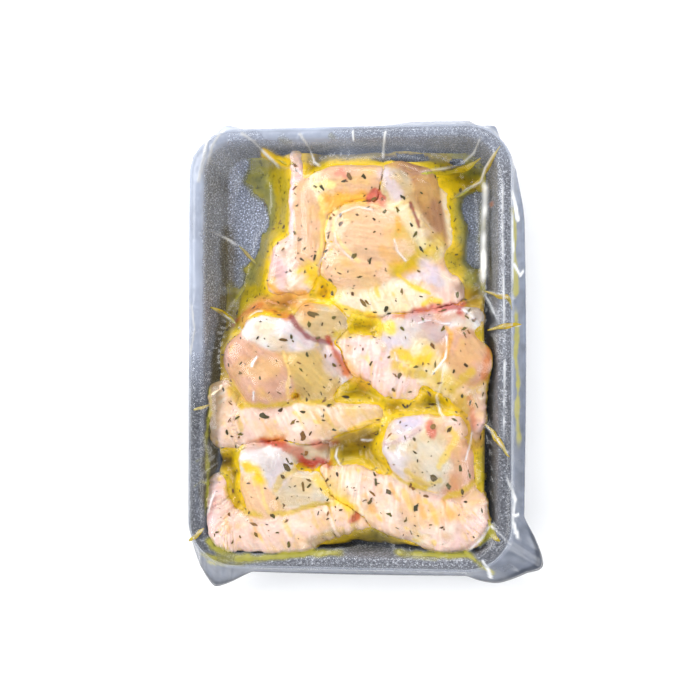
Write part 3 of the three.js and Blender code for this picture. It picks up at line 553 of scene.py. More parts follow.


# Colour marks: a path in the photograph's pixels, half width, colour and strength
MARKS = strokes([
    ("398,270 414,264 426,252 437,244", 4.8, YELLOW, 0.75),
    ("404,234 418,244 432,256", 4.2, YELLOW, 0.5),
    ("384,250 398,262 410,268", 2.8, GOLD, 0.45),
    ("414,198 424,214 432,236", 3.0, srgb(168, 118, 66), 0.5),
    ("462,290 472,304 484,320", 4.2, BARK, 0.6),
    ("428,316 444,318 462,315", 3.6, RUST, 0.55),
    ("462,402 468,420 474,442", 4.6, srgb(186, 132, 62), 0.7),
    ("440,382 452,394 464,404", 4.4, YELLOW, 0.5),
    ("424,362 436,372 446,380", 3.0, YELLOW, 0.45),
    ("346,364 353,376 364,386", 3.0, GOLD, 0.55),
    ("350,409 366,412 380,413", 3.4, YELLOW, 0.4),
    ("332,486 344,500 356,514", 4.2, YELLOW, 0.6),
    ("312,541 330,537 352,534 380,538 400,545", 3.0, srgb(120, 108, 62), 0.5),
    ("408,506 430,514 450,512", 4.6, GOLD, 0.3),
    ("364,506 378,518", 3.6, GOLD, 0.3),
    ("388,424 398,432 394,444", 3.0, YELLOW, 0.45),
    ("390,484 400,500", 1.4, GOLD, 0.6),
    ("404,490 413,509", 1.6, YELLOW, 0.5),
    ("419,496 425,517", 1.5, GOLD, 0.55),
    ("431,504 438,523", 1.4, YELLOW, 0.5),
    ("444,498 452,516", 1.8, GOLD, 0.5),
    ("366,496 376,512", 1.5, GOLD, 0.5),
    ("452,474 456,488 450,496", 2.6, RUST, 0.4),
    ("300,418 306,428", 1.2, YELLOW, 0.45),
    ("262,418 268,430", 1.2, GOLD, 0.45),
    ("238,416 242,430", 1.4, YELLOW, 0.5),
    ("326,414 332,426", 1.1, YELLOW, 0.45),
    ("252,520 258,534", 1.2, GOLD, 0.5),
    ("286,520 292,534", 1.2, YELLOW, 0.5),
    ("226,518 230,532", 1.1, GOLD, 0.45),
    ("312,512 318,526", 1.2, YELLOW, 0.45),
    ("330,199 348,200 364,199", 3.4, GOLD, 0.85),
    ("338,183 352,181 368,184", 2.0, srgb(240, 196, 116), 0.5),
    ("319,187 325,184 332,185", 2.2, srgb(253, 240, 150), 0.7),
    ("369,200 376,191 386,199", 1.3, RED, 0.85),
    ("372,199 378,195 384,202", 2.4, ROSE, 0.8),
    ("338,175 343,172 347,178", 1.8, ROSE, 0.6),
    ("386,176 391,184 398,196", 3.8, LAVENDER, 0.65),
    ("411,204 416,216 420,228", 0.9, WINE, 0.85),
    ("401,206 412,230 424,246", 2.0, CREAM, 0.6),
    ("399,220 401,232", 1.2, GOLD, 0.7),
    ("322,198 324,225 322,250 316,268", 1.5, srgb(252, 216, 110), 0.7),
    ("336,210 335,232 345,248 360,262", 0.9, srgb(252, 224, 150), 0.7),
    ("398,271 412,262 425,256", 2.0, YELLOW, 0.9),
    ("424,262 434,272 440,284", 3.0, LAVENDER, 0.7),
    ("410,277 424,275 432,280", 2.2, LAVENDER, 0.6),
    ("398,275 414,287 430,294", 1.1, SUN, 0.85),
    ("334,302 350,311 374,315", 1.5, SUN, 0.85),
    ("424,305 432,299 440,302", 1.6, SUN, 0.8),
    ("310,270 316,284 330,299", 4.2, SUN, 0.95),
    ("291,180 290,205 291,235", 1.2, srgb(250, 216, 226), 0.7),
    ("279,262 282,275 280,288", 3.0, srgb(246, 206, 214), 0.6),
    ("268,284 276,292 290,297 304,292", 1.8, GOLD, 0.9),
    ("367,317 382,319 400,316 418,312", 1.5, RUST, 0.85),
    ("416,312 430,309 447,309 460,305 460,312", 2.3, RED, 0.85),
    ("432,311 436,313 440,310 436,306 432,311", 0.8, srgb(232, 150, 130), 0.9),
    ("412,316 422,319 432,316", 2.8, MAUVE, 0.75),
    ("240,316 256,306 275,300 296,301 308,308", 5.0, ORANGE, 0.85),
    ("228,322 240,313 256,305", 1.7, RUST, 0.85),
    ("262,312 272,311 288,318", 1.8, RUST, 0.75),
    ("252,317 260,313 270,315", 1.5, SUN, 0.9),
    ("291,316 299,328 309,337 320,341 328,342", 1.3, WINE, 0.85),
    ("297,331 304,339 309,344", 1.2, MAUVE, 0.5),
    ("328,338 334,350 341,362 345,372", 1.6, RED, 0.8),
    ("333,358 338,366 344,372", 2.6, RUST, 0.6),
    ("322,348 334,372", 3.0, LAVENDER, 0.5),
    ("388,322 387,334 394,346", 4.6, LAVENDER, 0.7),
    ("430,330 438,338 444,334", 3.2, MAUVE, 0.6),
    ("336,334 350,334 366,332", 2.2, YELLOW, 0.8),
    ("272,256 276,266 280,274", 2.6, srgb(226, 182, 178), 0.75),
    ("401,353 414,361 430,356", 3.8, SUN, 0.9),
    ("396,366 408,372 424,374", 2.6, YELLOW, 0.75),
    ("447,328 452,335 449,347 444,360", 1.5, GOLD, 0.75),
    ("484,378 488,356 490,334", 1.8, RUST, 0.75),
    ("452,390 462,380 472,372", 2.2, YELLOW, 0.7),
    ("470,398 474,428", 1.4, ROSE, 0.4),
    ("232,383 235,396 241,408", 1.7, YELLOW, 0.7),
    ("241,405 268,406 298,402 330,403", 1.6, YELLOW, 0.8),
    ("284,352 291,372 288,398", 0.9, srgb(252, 216, 130), 0.7),
    ("349,430 366,424 382,420", 1.5, SUN, 0.8),
    ("250,445 262,442 282,441", 2.6, RUST, 0.95),
    ("262,442 284,445 300,450", 1.6, RED, 0.8),
    ("287,449 298,453 304,462 311,465 318,460 328,464", 2.1, RED, 0.95),
    ("314,444 324,446 334,443", 2.2, RED, 0.95),
    ("249,466 258,470 262,480", 3.0, SUN, 0.95),
    ("238,462 236,480 240,498", 1.2, YELLOW, 0.7),
    ("252,450 264,456 276,468 282,476", 4.6, srgb(214, 198, 196), 0.7),
    ("290,452 302,446 322,451", 4.0, srgb(206, 176, 148), 0.5),
    ("277,490 282,478 294,470", 1.6, YELLOW, 0.6),
    ("262,484 266,500 270,512", 0.9, srgb(252, 216, 130), 0.7),
    ("224,488 233,502 246,513 262,515", 1.6, YELLOW, 0.75),
    ("275,514 290,512 316,504 334,505", 1.4, YELLOW, 0.75),
    ("318,478 324,488 336,498 349,506", 2.2, SUN, 0.75),
    ("353,520 358,516", 1.8, RED, 0.8),
    ("431,426 433,434", 2.0, ROSE, 0.85),
    ("384,444 396,442 412,436 420,430", 1.4, MAUVE, 0.7),
    ("396,430 404,436", 2.4, LAVENDER, 0.5),
    ("450,428 457,438 449,452 440,466", 1.6, srgb(240, 206, 84), 0.75),
    ("408,470 416,478 428,484 440,480", 1.4, YELLOW, 0.6),
    ("328,447 344,441 362,438", 4.2, srgb(122, 96, 58), 0.7),
    ("213,452 217,466 214,480", 3.0, srgb(124, 104, 70), 0.55),
    ("464,196 463,222 467,250 470,278", 4.6, srgb(138, 142, 84), 0.7),
    ("250,176 263,196 264,220 254,248 243,276", 3.2, srgb(132, 138, 100), 0.6),
    # Painted light: brighter yellow that lifts the shade on the marinade between the wings here
    ("356,322 372,325 390,328", 4.2, srgb(250, 222, 50), 0.9),
    ("383,458 390,470 404,482 424,488", 1.4, YELLOW, 0.85),
    ("384,424 396,416 420,412 440,414", 1.3, YELLOW, 0.75),
    ("446,497 462,492 474,482", 1.7, YELLOW, 0.75),
    ("205,520 211,512 216,498", 1.2, ROSE, 0.4),
])


def painted(colour, x, y):
    """Colours with the marks painted over them, with ragged edges."""
    for points, width, tone, strength in MARKS:
        near = near_line(x, y, points, 4 * width)
        away, _ = line_distance(x[near], y[near], points)
        away = away + (0.4 + width * 0.6) * fractal(x[near], y[near], 0, 4.0, 21)
        share = strength * smooth((1.7 * width - away) / (1.4 * width))
        colour[near] = tinted(colour[near], tone, share)
    return colour


# Materials
def add_node(tree, kind, inputs=None, **settings):
    """A shader node. An input is given a value, or a socket that it is linked to."""
    node = tree.nodes.new("ShaderNode" + kind)
    for key, value in settings.items():
        setattr(node, key, value)
    for key, value in (inputs or {}).items():
        if isinstance(value, bpy.types.NodeSocket):
            tree.links.new(value, node.inputs[key])
        else:
            node.inputs[key].default_value = value
    return node


def noise_of(tree, scale, detail, rough=0.5, distortion=0.0):
    inputs = {"Vector": add_node(tree, "TexCoord").outputs["Object"], "Scale": scale, "Detail": detail,
              "Roughness": rough, "Distortion": distortion}
    return add_node(tree, "TexNoise", inputs).outputs["Fac"]


def ramp(tree, source, stops):
    node = add_node(tree, "ValToRGB", {"Fac": source})
    elements = node.color_ramp.elements
    while len(elements) < len(stops):
        elements.new(0.5)
    for element, (at, colour) in zip(elements, stops):
        element.position = at
        element.color = (*colour, 1.0)
    return node.outputs["Color"]


def multiplied(tree, first, second, share=1.0):
    inputs = {0: share, 6: first, 7: second}
    return add_node(tree, "Mix", inputs, data_type="RGBA", blend_type="MULTIPLY").outputs[2]


def painted_in(tree, name, output="Color"):
    """The colours or values that a mesh carries under a name."""
    return add_node(tree, "Attribute", attribute_name=name).outputs[output]


def bumped(tree, height, strength, distance):
    inputs = {"Height": height, "Strength": strength, "Distance": distance}
    return add_node(tree, "Bump", inputs).outputs["Normal"]


def calculated(tree, operation, *values):
    return add_node(tree, "Math", dict(enumerate(values)), operation=operation).outputs[0]


def principled(tree, inputs):
    return add_node(tree, "BsdfPrincipled", inputs).outputs["BSDF"]


def mixed(tree, share, first, second):
    return add_node(tree, "MixShader", {0: share, 1: first, 2: second}).outputs["Shader"]


def see_through(tree, colour):
    return add_node(tree, "BsdfTransparent", {"Color": (*colour, 1)}).outputs["BSDF"]


def new_material(name, build):
    """A material whose surface is the shader that build makes in its node tree."""
    material = bpy.data.materials.new(name)
    material.use_nodes = True
    tree = material.node_tree
    tree.nodes.clear()
    add_node(tree, "OutputMaterial", {"Surface": build(tree)})
    return material


def meat_shader(tree):
    mottled = ramp(tree, noise_of(tree, 160, 4, 0.6),
                   [(0.3, (0.86, 0.82, 0.80)), (0.5, (1, 1, 1)), (0.72, (1.06, 1.05, 1.04))])
    coords = add_node(tree, "TexCoord").outputs["Object"]
    pores = add_node(tree, "TexVoronoi", {"Vector": coords, "Scale": 520}).outputs["Distance"]
    height = calculated(tree, "MULTIPLY_ADD", pores, 0.8, noise_of(tree, 900, 3, 0.6))
    return principled(tree, {
        "Base Color": multiplied(tree, painted_in(tree, "tone"), mottled, 0.8),
        "Roughness": 0.34, "Specular IOR Level": 0.36, "Subsurface Weight": 0.22,
        "Subsurface Radius": (1.0, 0.45, 0.25), "Subsurface Scale": 0.003,
        "Normal": bumped(tree, height, 0.6, 0.0005)})


def marinade_shader(tree):
    specks = noise_of(tree, 420, 3, 0.6)
    specked = ramp(tree, specks, [(0.32, (0.34, 0.33, 0.25)), (0.42, (0.84, 0.84, 0.8)),
                                  (0.6, (0.95, 0.95, 0.95)), (0.75, (1.1, 1.08, 1.0))])
    sauce = principled(tree, {
        "Base Color": multiplied(tree, painted_in(tree, "tone"), specked, 0.8),
        "Roughness": 0.3, "Specular IOR Level": 0.3, "Normal": bumped(tree, specks, 0.4, 0.0006)})
    return mixed(tree, painted_in(tree, "cover", "Fac"), see_through(tree, (0.99, 0.985, 0.96)), sauce)


def herb_shader(tree):
    veined = ramp(tree, noise_of(tree, 1400, 3, 0.6), [(0.3, (0.6, 0.6, 0.6)), (0.7, (1.35, 1.35, 1.2))])
    colour = multiplied(tree, painted_in(tree, "tone"), veined)
    return principled(tree, {"Base Color": colour, "Roughness": 0.55})


def foam_shader(tree):
    cells = noise_of(tree, 1150, 2, 0.7)
    speck = ramp(tree, cells, [(0.30, srgb(62, 63, 69)), (0.45, srgb(98, 99, 106)),
                               (0.57, srgb(124, 126, 133)), (0.70, srgb(212, 215, 222))])
    broad = ramp(tree, noise_of(tree, 45, 3), [(0.3, (0.88, 0.88, 0.9)), (0.7, (1.08, 1.08, 1.08))])
    colour = multiplied(tree, multiplied(tree, speck, broad), painted_in(tree, "tone"))
    return principled(tree, {
        "Base Color": colour, "Roughness": 0.6, "Normal": bumped(tree, cells, 0.25, 0.0003)})


def film_shader(tree):
    """Clear film: hazy, with its painted sheen, highlights and shadow, where it is covered, and glossier the
    more it turns away.
    """
    ripple = bumped(tree, noise_of(tree, 90, 3, 0.5, 0.6), 0.25, 0.0006)
    haze_and_painted_light = principled(tree, {"Roughness": 0.35, "Base Color": painted_in(tree, "tone")})
    hazy_and_painted_light = mixed(tree, painted_in(tree, "cover", "Fac"), see_through(tree, (0.985, 0.988, 0.99)), haze_and_painted_light)
    gloss = add_node(tree, "BsdfGlossy", {"Roughness": 0.13, "Normal": ripple}).outputs["BSDF"]
    facing = add_node(tree, "LayerWeight", {"Blend": 0.5, "Normal": ripple}).outputs["Facing"]
    edge = calculated(tree, "MULTIPLY_ADD", calculated(tree, "POWER", facing, 4.0), 0.8, 0.02)
    return mixed(tree, edge, hazy_and_painted_light, gloss)


MEAT = new_material("meat", meat_shader)
MARINADE = new_material("marinade", marinade_shader)
HERBS = new_material("dried_herb", herb_shader)
FOAM = new_material("grey_foam", foam_shader)
CLEAR = new_material("clear_film", film_shader)

# Tray
CORNER_STEPS, SIDE_STEPS = 14, 26
FLOOR_INSETS = (8, 20, 35, 52)
# Painted sheen on the tray's floor: how much it lifts each colour channel
PAINTED_FLOOR_SHEEN = np.array([0.95, 1.05, 1.3])


def outline(ring):
    """Points round a rounded rectangle, with its straight sides divided as well."""
    inset_x, inset_y, radius, z = ring
    cx, cy = HALF_X - inset_x - radius, HALF_Y - inset_y - radius
    signs = [(1, 1), (-1, 1), (-1, -1), (1, -1)]
    points = []

    def on_corner(quarter, angle):
        sx, sy = signs[quarter]
        return sx * cx + radius * math.cos(angle), sy * cy + radius * math.sin(angle), z

    for quarter in range(4):
        points += [on_corner(quarter, (quarter + i / CORNER_STEPS) * math.pi / 2)
                   for i in range(CORNER_STEPS + 1)]
        start, end = points[-1], on_corner((quarter + 1) % 4, (quarter + 1) * math.pi / 2)
        points += [tuple(between(a, b, i / SIDE_STEPS) for a, b in zip(start, end))
                   for i in range(1, SIDE_STEPS)]
    return points


def make_tray():
    """The foam tray as one skin through its rings, with a painted sheen that makes its floor pale and
    painted shade along the near sides.
    """
    inner = TRAY_INSIDE[-1]
    shrunk = [(inner[0] + k, inner[1] + k, 9, FLOOR_TOP) for k in FLOOR_INSETS]
    rings = [outline(ring) for ring in TRAY_OUTSIDE + TRAY_INSIDE + shrunk]
    count = len(rings[0])
    points = np.array([p for ring in rings for p in ring])
    faces = []
    for low in range(0, len(points) - count, count):
        for i in range(count):
            j = (i + 1) % count
            faces.append((low + i, low + j, low + count + j, low + count + i))
    faces += [tuple(range(count - 1, -1, -1)), tuple(range(len(points) - count, len(points)))]
    x, y, z = points.T
    wave = 0.22 * fractal(x, y, z, 26, 31)
    on_floor = smooth((z - 4.0) * 10) * smooth((5.0 - z) * 5)
    outward = points[:, :2] / np.maximum(np.linalg.norm(points[:, :2], axis=1, keepdims=True), 1)
    upper = z > 20
    points[upper, :2] += (outward * wave[:, None])[upper]
    # Painted sheen: the floor is lighter, most towards the far side
    tone = 1 + (on_floor * (0.25 + 0.75 * smooth((y + 40) / 70)))[:, None] * PAINTED_FLOOR_SHEEN
    # Painted shade on the side walls towards the near end, deeper on the left
    painted_side_shade = smooth((np.abs(x) - 62) / 14) * smooth((10 - y) / 45) * np.where(x < 0, 0.5, 0.3)
    return add_mesh("foam_tray", points, faces, "tray", FOAM, {"tone": tone * (1 - painted_side_shade[:, None])})


# Wings
WING_STEP, WING_BLEND, RELAX_SHARE = 1.3, 4.6, 0.4
NEIGHBOUR_GAP, PRESSED, WALL_GAP = 0.06, 7.0, 0.6
MEAT_LEVEL = 0.88


def wing_distance(lobes, x, y, z):
    value = 1e3
    for part in lobes:
        value = smooth_min(value, lobe_distance(part, x, y, z), WING_BLEND)
    return value


def wing_body(name):
    """A wing's lobes as a closed mesh, pressed against its neighbours and held in by the tray."""
    lobes = WINGS[name]
    widest = max(max(part["ra"], part["rb"]) for part in lobes) + 2 * WING_STEP
    ends = np.array([part[key] for part in lobes for key in ("a", "b")])
    low = np.array([*(ends.min(axis=0)[:2] - widest), FOOT - 2 * WING_STEP])
    high = np.array([*(ends.max(axis=0)[:2] + widest), 40])
    axes = [np.arange(a, b + WING_STEP, WING_STEP) for a, b in zip(low, high)]
    x, y, z = np.meshgrid(*axes, indexing="ij")
    value = wing_distance(lobes, x, y, z)
    for parts in [parts for other, parts in WINGS.items() if other != name]:
        beside = wing_distance(parts, x, y, z)
        joined = np.maximum(smooth_min(value, beside, PRESSED), (value - beside) / 2 + NEIGHBOUR_GAP)
        value = np.where((value < 12) & (beside < 12), joined, value)
    t = clamp01((z - WALL_FOOT[3]) / (WALL_HEAD[3] - WALL_FOOT[3]))
    over = clamp01((z - WALL_HEAD[3]) / (WALL_LIP[3] - WALL_HEAD[3]))
    ring = [between(between(a, b, t), c, over) for a, b, c in zip(WALL_FOOT, WALL_HEAD, WALL_LIP)]
    value = np.maximum(value, ring_distance(ring, x, y) + WALL_GAP)
    value = np.maximum(value, FOOT - z)
    points, faces = surface_net(value, low, WING_STEP)
    return subdivided(relax(points, faces), faces)


def make_wing(name, seed):
    """A wing's meat, with wrinkled skin, grained muscle and layers of colour."""
    lobes = WINGS[name]
    points, faces = wing_body(name)
    px, py, pz = points.T
    fields = np.stack([lobe_distance(part, px, py, pz) for part in lobes], axis=1)
    weights = np.exp(-(fields - fields.min(axis=1, keepdims=True)) / 0.55)
    weights /= weights.sum(axis=1, keepdims=True)
    skin = weights @ np.array([float(any(part["tone"] is tone for tone in SKIN_TONES)) for part in lobes])
    runs = np.array([math.atan2(p["b"][1] - p["a"][1], p["b"][0] - p["a"][0]) for p in lobes])
    cosine, sine = weights @ np.cos(runs), weights @ np.sin(runs)
    along, across = px * cosine + py * sine, -px * sine + py * cosine

    slant = along + 0.45 * across
    wrinkle = noise(slant, across * 0.22, pz * 0.3, 2.0, seed)
    pleat = noise(slant * 0.5, across * 0.13, pz * 0.2, 2.6, seed + 8)
    pimple = np.maximum(noise(px, py, pz, 1.8, seed + 1), 0) ** 2
    grain = noise(along * 0.16, across, pz, 1.3, seed + 2)
    lumps = fractal(px, py, pz, 11, seed + 3)
    streak = noise(slant * 1.3 + 0.8 * lumps, across * 0.3, pz * 0.4, 1.7, seed + 10)
    relief = skin * (0.55 * wrinkle + 0.6 * pleat + 0.6 * pimple + 0.22 * streak)
    relief = relief + (1 - skin) * 0.3 * grain + 0.6 * lumps
    top = smooth((pz - FOOT - 1.5) / 4)
    points = points + normals_of(points, faces) * (relief * top)[:, None]

    folds = smooth((-0.55 * wrinkle - 0.75 * pleat - 0.12) / 0.5)
    folds = folds * smooth(0.4 + 1.6 * fractal(px, py, pz, 14, seed + 9))
    patchy = fractal(px, py, pz, 9, seed + 11)
    gap = grid_value(FILM, px, py) - pz
    crease = 1 - weights.max(axis=1)
    wet = fractal(px, py, pz, 6, seed + 5)
    dab = smooth((noise(slant * 0.8, across * 0.6, pz, 3.4, seed + 6) - 0.5) / 0.3)
    yellow = np.maximum.reduce([
        smooth((gap - 1.7 + 1.4 * wet) / 2.6) * 0.95,
        smooth((crease - 0.15) / 0.35) * smooth((gap - 0.8) / 1.6) * 0.7,
        dab * 0.55 * (0.3 + 0.7 * skin)])
    layers = [(BLUSH, 0.34 * skin * smooth(0.5 + 1.2 * fractal(px, py, pz, 17, seed + 4))),
              (COAT, 0.42 * smooth(0.3 + 1.9 * fractal(px, py, pz, 12, seed + 7))),
              (FOLD, 0.5 * skin * folds),
              (FATTY, 0.55 * skin * smooth(0.9 * streak + 1.3 * patchy)),
              (STAINED, 0.42 * skin * smooth(-0.9 * streak - 1.2 * patchy - 0.15)),
              (SUN, clamp01(yellow))]
    colour = weights @ np.stack([part["tone"] for part in lobes])
    # Painted shade and light on the skin: darker in the hollows of its wrinkles and pleats, lighter on their
    # crests; the muscle's grain is its own tone
    colour *= (1 + skin * (0.08 * wrinkle + 0.06 * pleat) + (1 - skin) * 0.11 * grain)[:, None]
    for tone, share in layers:
        colour = tinted(colour, tone, share)
    colour = painted(colour, px, py) * MEAT_LEVEL
    return add_mesh(name + "_meat", points, faces.tolist(), name, MEAT, {"tone": clamp01(colour)})


# Marinade
POOL_STEP, POOL_LEVEL = 1.0, 0.94


def crack_height(pieces, x, y, touching):
    """Height of the marinade in the cracks between wings, just under the meat's edges."""
    crack = np.full(x.shape, -1.0)
    tree = joined_tree(pieces)
    for i, j in np.argwhere(touching):
        hit, _ = cast_down(tree, x[i, j], y[i, j])
        crack[i, j] = (-1.0 if hit is None else hit.z / MM) - 0.15
    filled = crack.copy()
    for di in (-1, 0, 1):
        for dj in (-1, 0, 1):
            filled += np.where(touching, np.roll(crack, (di, dj), (0, 1)), 0)
    mean = filled / (1 + 9 * touching)
    return np.where(crack > 0, np.minimum(mean, crack + 0.6), crack)


def make_pool(pieces):
    """The marinade's surface where it shows, clearer where it is thin."""
    xs = np.arange(-HALF_X + 12, HALF_X - 12 + POOL_STEP, POOL_STEP)
    ys = np.arange(-HALF_Y + 8, HALF_Y - 8 + POOL_STEP, POOL_STEP)
    x, y = np.meshgrid(xs, ys, indexing="ij")
    top = pool_height(x, y)
    touching = (grid_value(APART, x, y) < 1.6) & (grid_value(NEXT_APART, x, y) < 2.4)
    top = np.where(touching, np.maximum(top, crack_height(pieces, x, y, touching)), top)
    thick = top - np.maximum(tray_height(x, y), 0)
    kept = (thick > -0.15) & ((grid_value(WING_TOP, x, y) < top + 2.5) | touching)
    faces = grid_quads(x.shape, kept[:-1, :-1] & kept[1:, :-1] & kept[:-1, 1:] & kept[1:, 1:])
    used, inverse = np.unique(faces, return_inverse=True)
    px, py, pz, th = (a.ravel()[used] for a in (x, y, top, thick))
    mottle = fractal(px, py, 0, 7, 41)
    murk = smooth(0.35 + 1.5 * fractal(px, py, 0, 15, 43))
    rich = smooth((th - 0.4) / 4.0 + 0.25 * mottle)
    colour = tinted(OLIVE + (YELLOW - OLIVE) * rich[:, None], MOSS, 0.6 * murk) * POOL_LEVEL
    beside = np.exp(-((np.maximum(grid_value(APART, px, py), 0) / 3.0) ** 2))
    colour = painted(tinted(colour, SUN, 0.75 * beside * (1 - 0.6 * murk)), px, py)
    cover = (0.68 + 0.32 * (1 - np.exp(-np.maximum(th, 0) / 0.9))) * smooth((th + 0.15) / 2.0)
    points = np.stack([px, py, pz + 0.18 * fractal(px, py, 0, 4, 42)], axis=1)
    looks = {"tone": clamp01(colour), "cover": clamp01(cover * (1 + 0.15 * mottle))}
    faces = inverse.reshape(-1, 4).tolist()
    return add_mesh("marinade_pool", points, faces, "marinade", MARINADE, looks)


# Herbs
HERB_COUNT, HERB_SEED = 640, 77
# Flakes that stand out in the photograph: pixel, length, width
NAMED_HERBS = [
    (314, 315, 6.2, 3.6), (331, 293, 4.6, 2.0), (364, 303, 5, 2.2), (387, 309, 3.5, 2.2),
    (356, 257, 4.5, 2.2), (372, 261, 4, 1.2), (323, 189, 4.2, 3.2), (351, 178, 4, 2.4), (365, 178, 3.4, 2),
    (386, 213, 3.6, 2), (399, 211, 3.2, 2), (342, 216, 3, 2), (343, 225, 3.2, 2.4), (264, 416, 5.4, 2.6),
    (280, 411, 4.6, 2.4), (304, 436, 5.6, 3.4), (329, 405, 5, 1.6), (400, 376, 4.2, 2.2),
    (394, 390, 4.2, 1.8), (288, 467, 5.2, 3), (304, 486, 6, 1.6), (309, 480, 4, 1.6), (229, 515, 5, 2),
    (255, 524, 5.4, 1.8), (435, 477, 4.6, 3.6), (449, 486, 4.4, 2.4), (371, 501, 5, 2.2),
    (417, 507, 4.6, 2.4), (391, 514, 3.6, 2), (290, 544, 3.8, 2.2), (465, 328, 4.6, 1.8),
    (468, 312, 4.6, 1.4), (433, 346, 4.2, 2), (403, 329, 3.4, 1.8), (293, 337, 3, 1.4),
    (310, 325, 3.4, 2.4), (285, 340, 4.2, 2), (344, 397, 4, 2.4), (429, 394, 3.6, 1.6), (430, 405, 3.6, 2),
    (416, 439, 3, 1.6), (433, 427, 3.8, 3), (376, 482, 4.2, 1.8), (373, 493, 5, 1.4), (389, 492, 3.6, 2.6)
]


def leaf_shape(random, length, width):
    """An irregular flake as a thin closed body of two skins and a rim."""
    count = 9
    angles = np.linspace(0, 2 * math.pi, count, endpoint=False)
    ragged = 1 + 0.22 * random.standard_normal(count)
    x = np.cos(angles) * length / 2 * ragged
    y = np.sin(angles) * width / 2 * ragged
    z = random.uniform(-0.03, 0.03) * x * x
    skins = [np.stack([x, y, z + offset], axis=1) for offset in (0.07, -0.07)]
    points = np.concatenate([*skins, [[0, 0, 0.12], [0, 0, -0.1]]])
    faces = []
    for i in range(count):
        j = (i + 1) % count
        faces += [(i, j, 2 * count), (j + count, i + count, 2 * count + 1), (i + count, j + count, j, i)]
    return points, faces


def make_herbs(surfaces):
    """Dried flakes lying on the meat and the marinade, the named ones first."""
    random = np.random.default_rng(HERB_SEED)
    tree = joined_tree(surfaces)
    wanted = [(*place(px, py), length, width) for px, py, length, width in NAMED_HERBS]
    while len(wanted) < HERB_COUNT:
        length = 0.8 + 3.0 * random.random() ** 2.0
        wanted.append((random.uniform(-76, 74), random.uniform(-108, 108), length,
                       length * random.uniform(0.22, 0.6)))
    points, faces, tones = [], [], []
    for x, y, length, width in wanted:
        inside = float(grid_value(APART, np.array([x]), np.array([y]))[0])
        if inside > 11 and random.random() < 0.8:
            continue
        hit, normal = cast_down(tree, x, y)
        if hit is None or normal.z < 0.35:
            continue
        leaf, leaf_faces = leaf_shape(random, length * 0.95, width * 0.95)
        turn = random.uniform(0, 2 * math.pi)
        cosine, sine = math.cos(turn), math.sin(turn)
        spin = np.array([[cosine, -sine, 0], [sine, cosine, 0], [0, 0, 1]])
        lay = np.array(Vector((0, 0, 1)).rotation_difference(normal).to_matrix())
        start = sum(map(len, points))
        faces += [tuple(start + i for i in face) for face in leaf_faces]
        points.append(leaf @ spin.T @ lay.T + np.array(hit) / MM + np.array(normal) * 0.16)
        tone = (HERB + (BARK - HERB) * random.random() ** 2.5) * random.uniform(0.35, 1.5)
        tones.append(np.repeat(tone[None, :], len(leaf), axis=0))
    return add_mesh("herb_flakes", np.concatenate(points), faces, None, HERBS,
                    {"tone": np.concatenate(tones)}, smooth_faces=False)


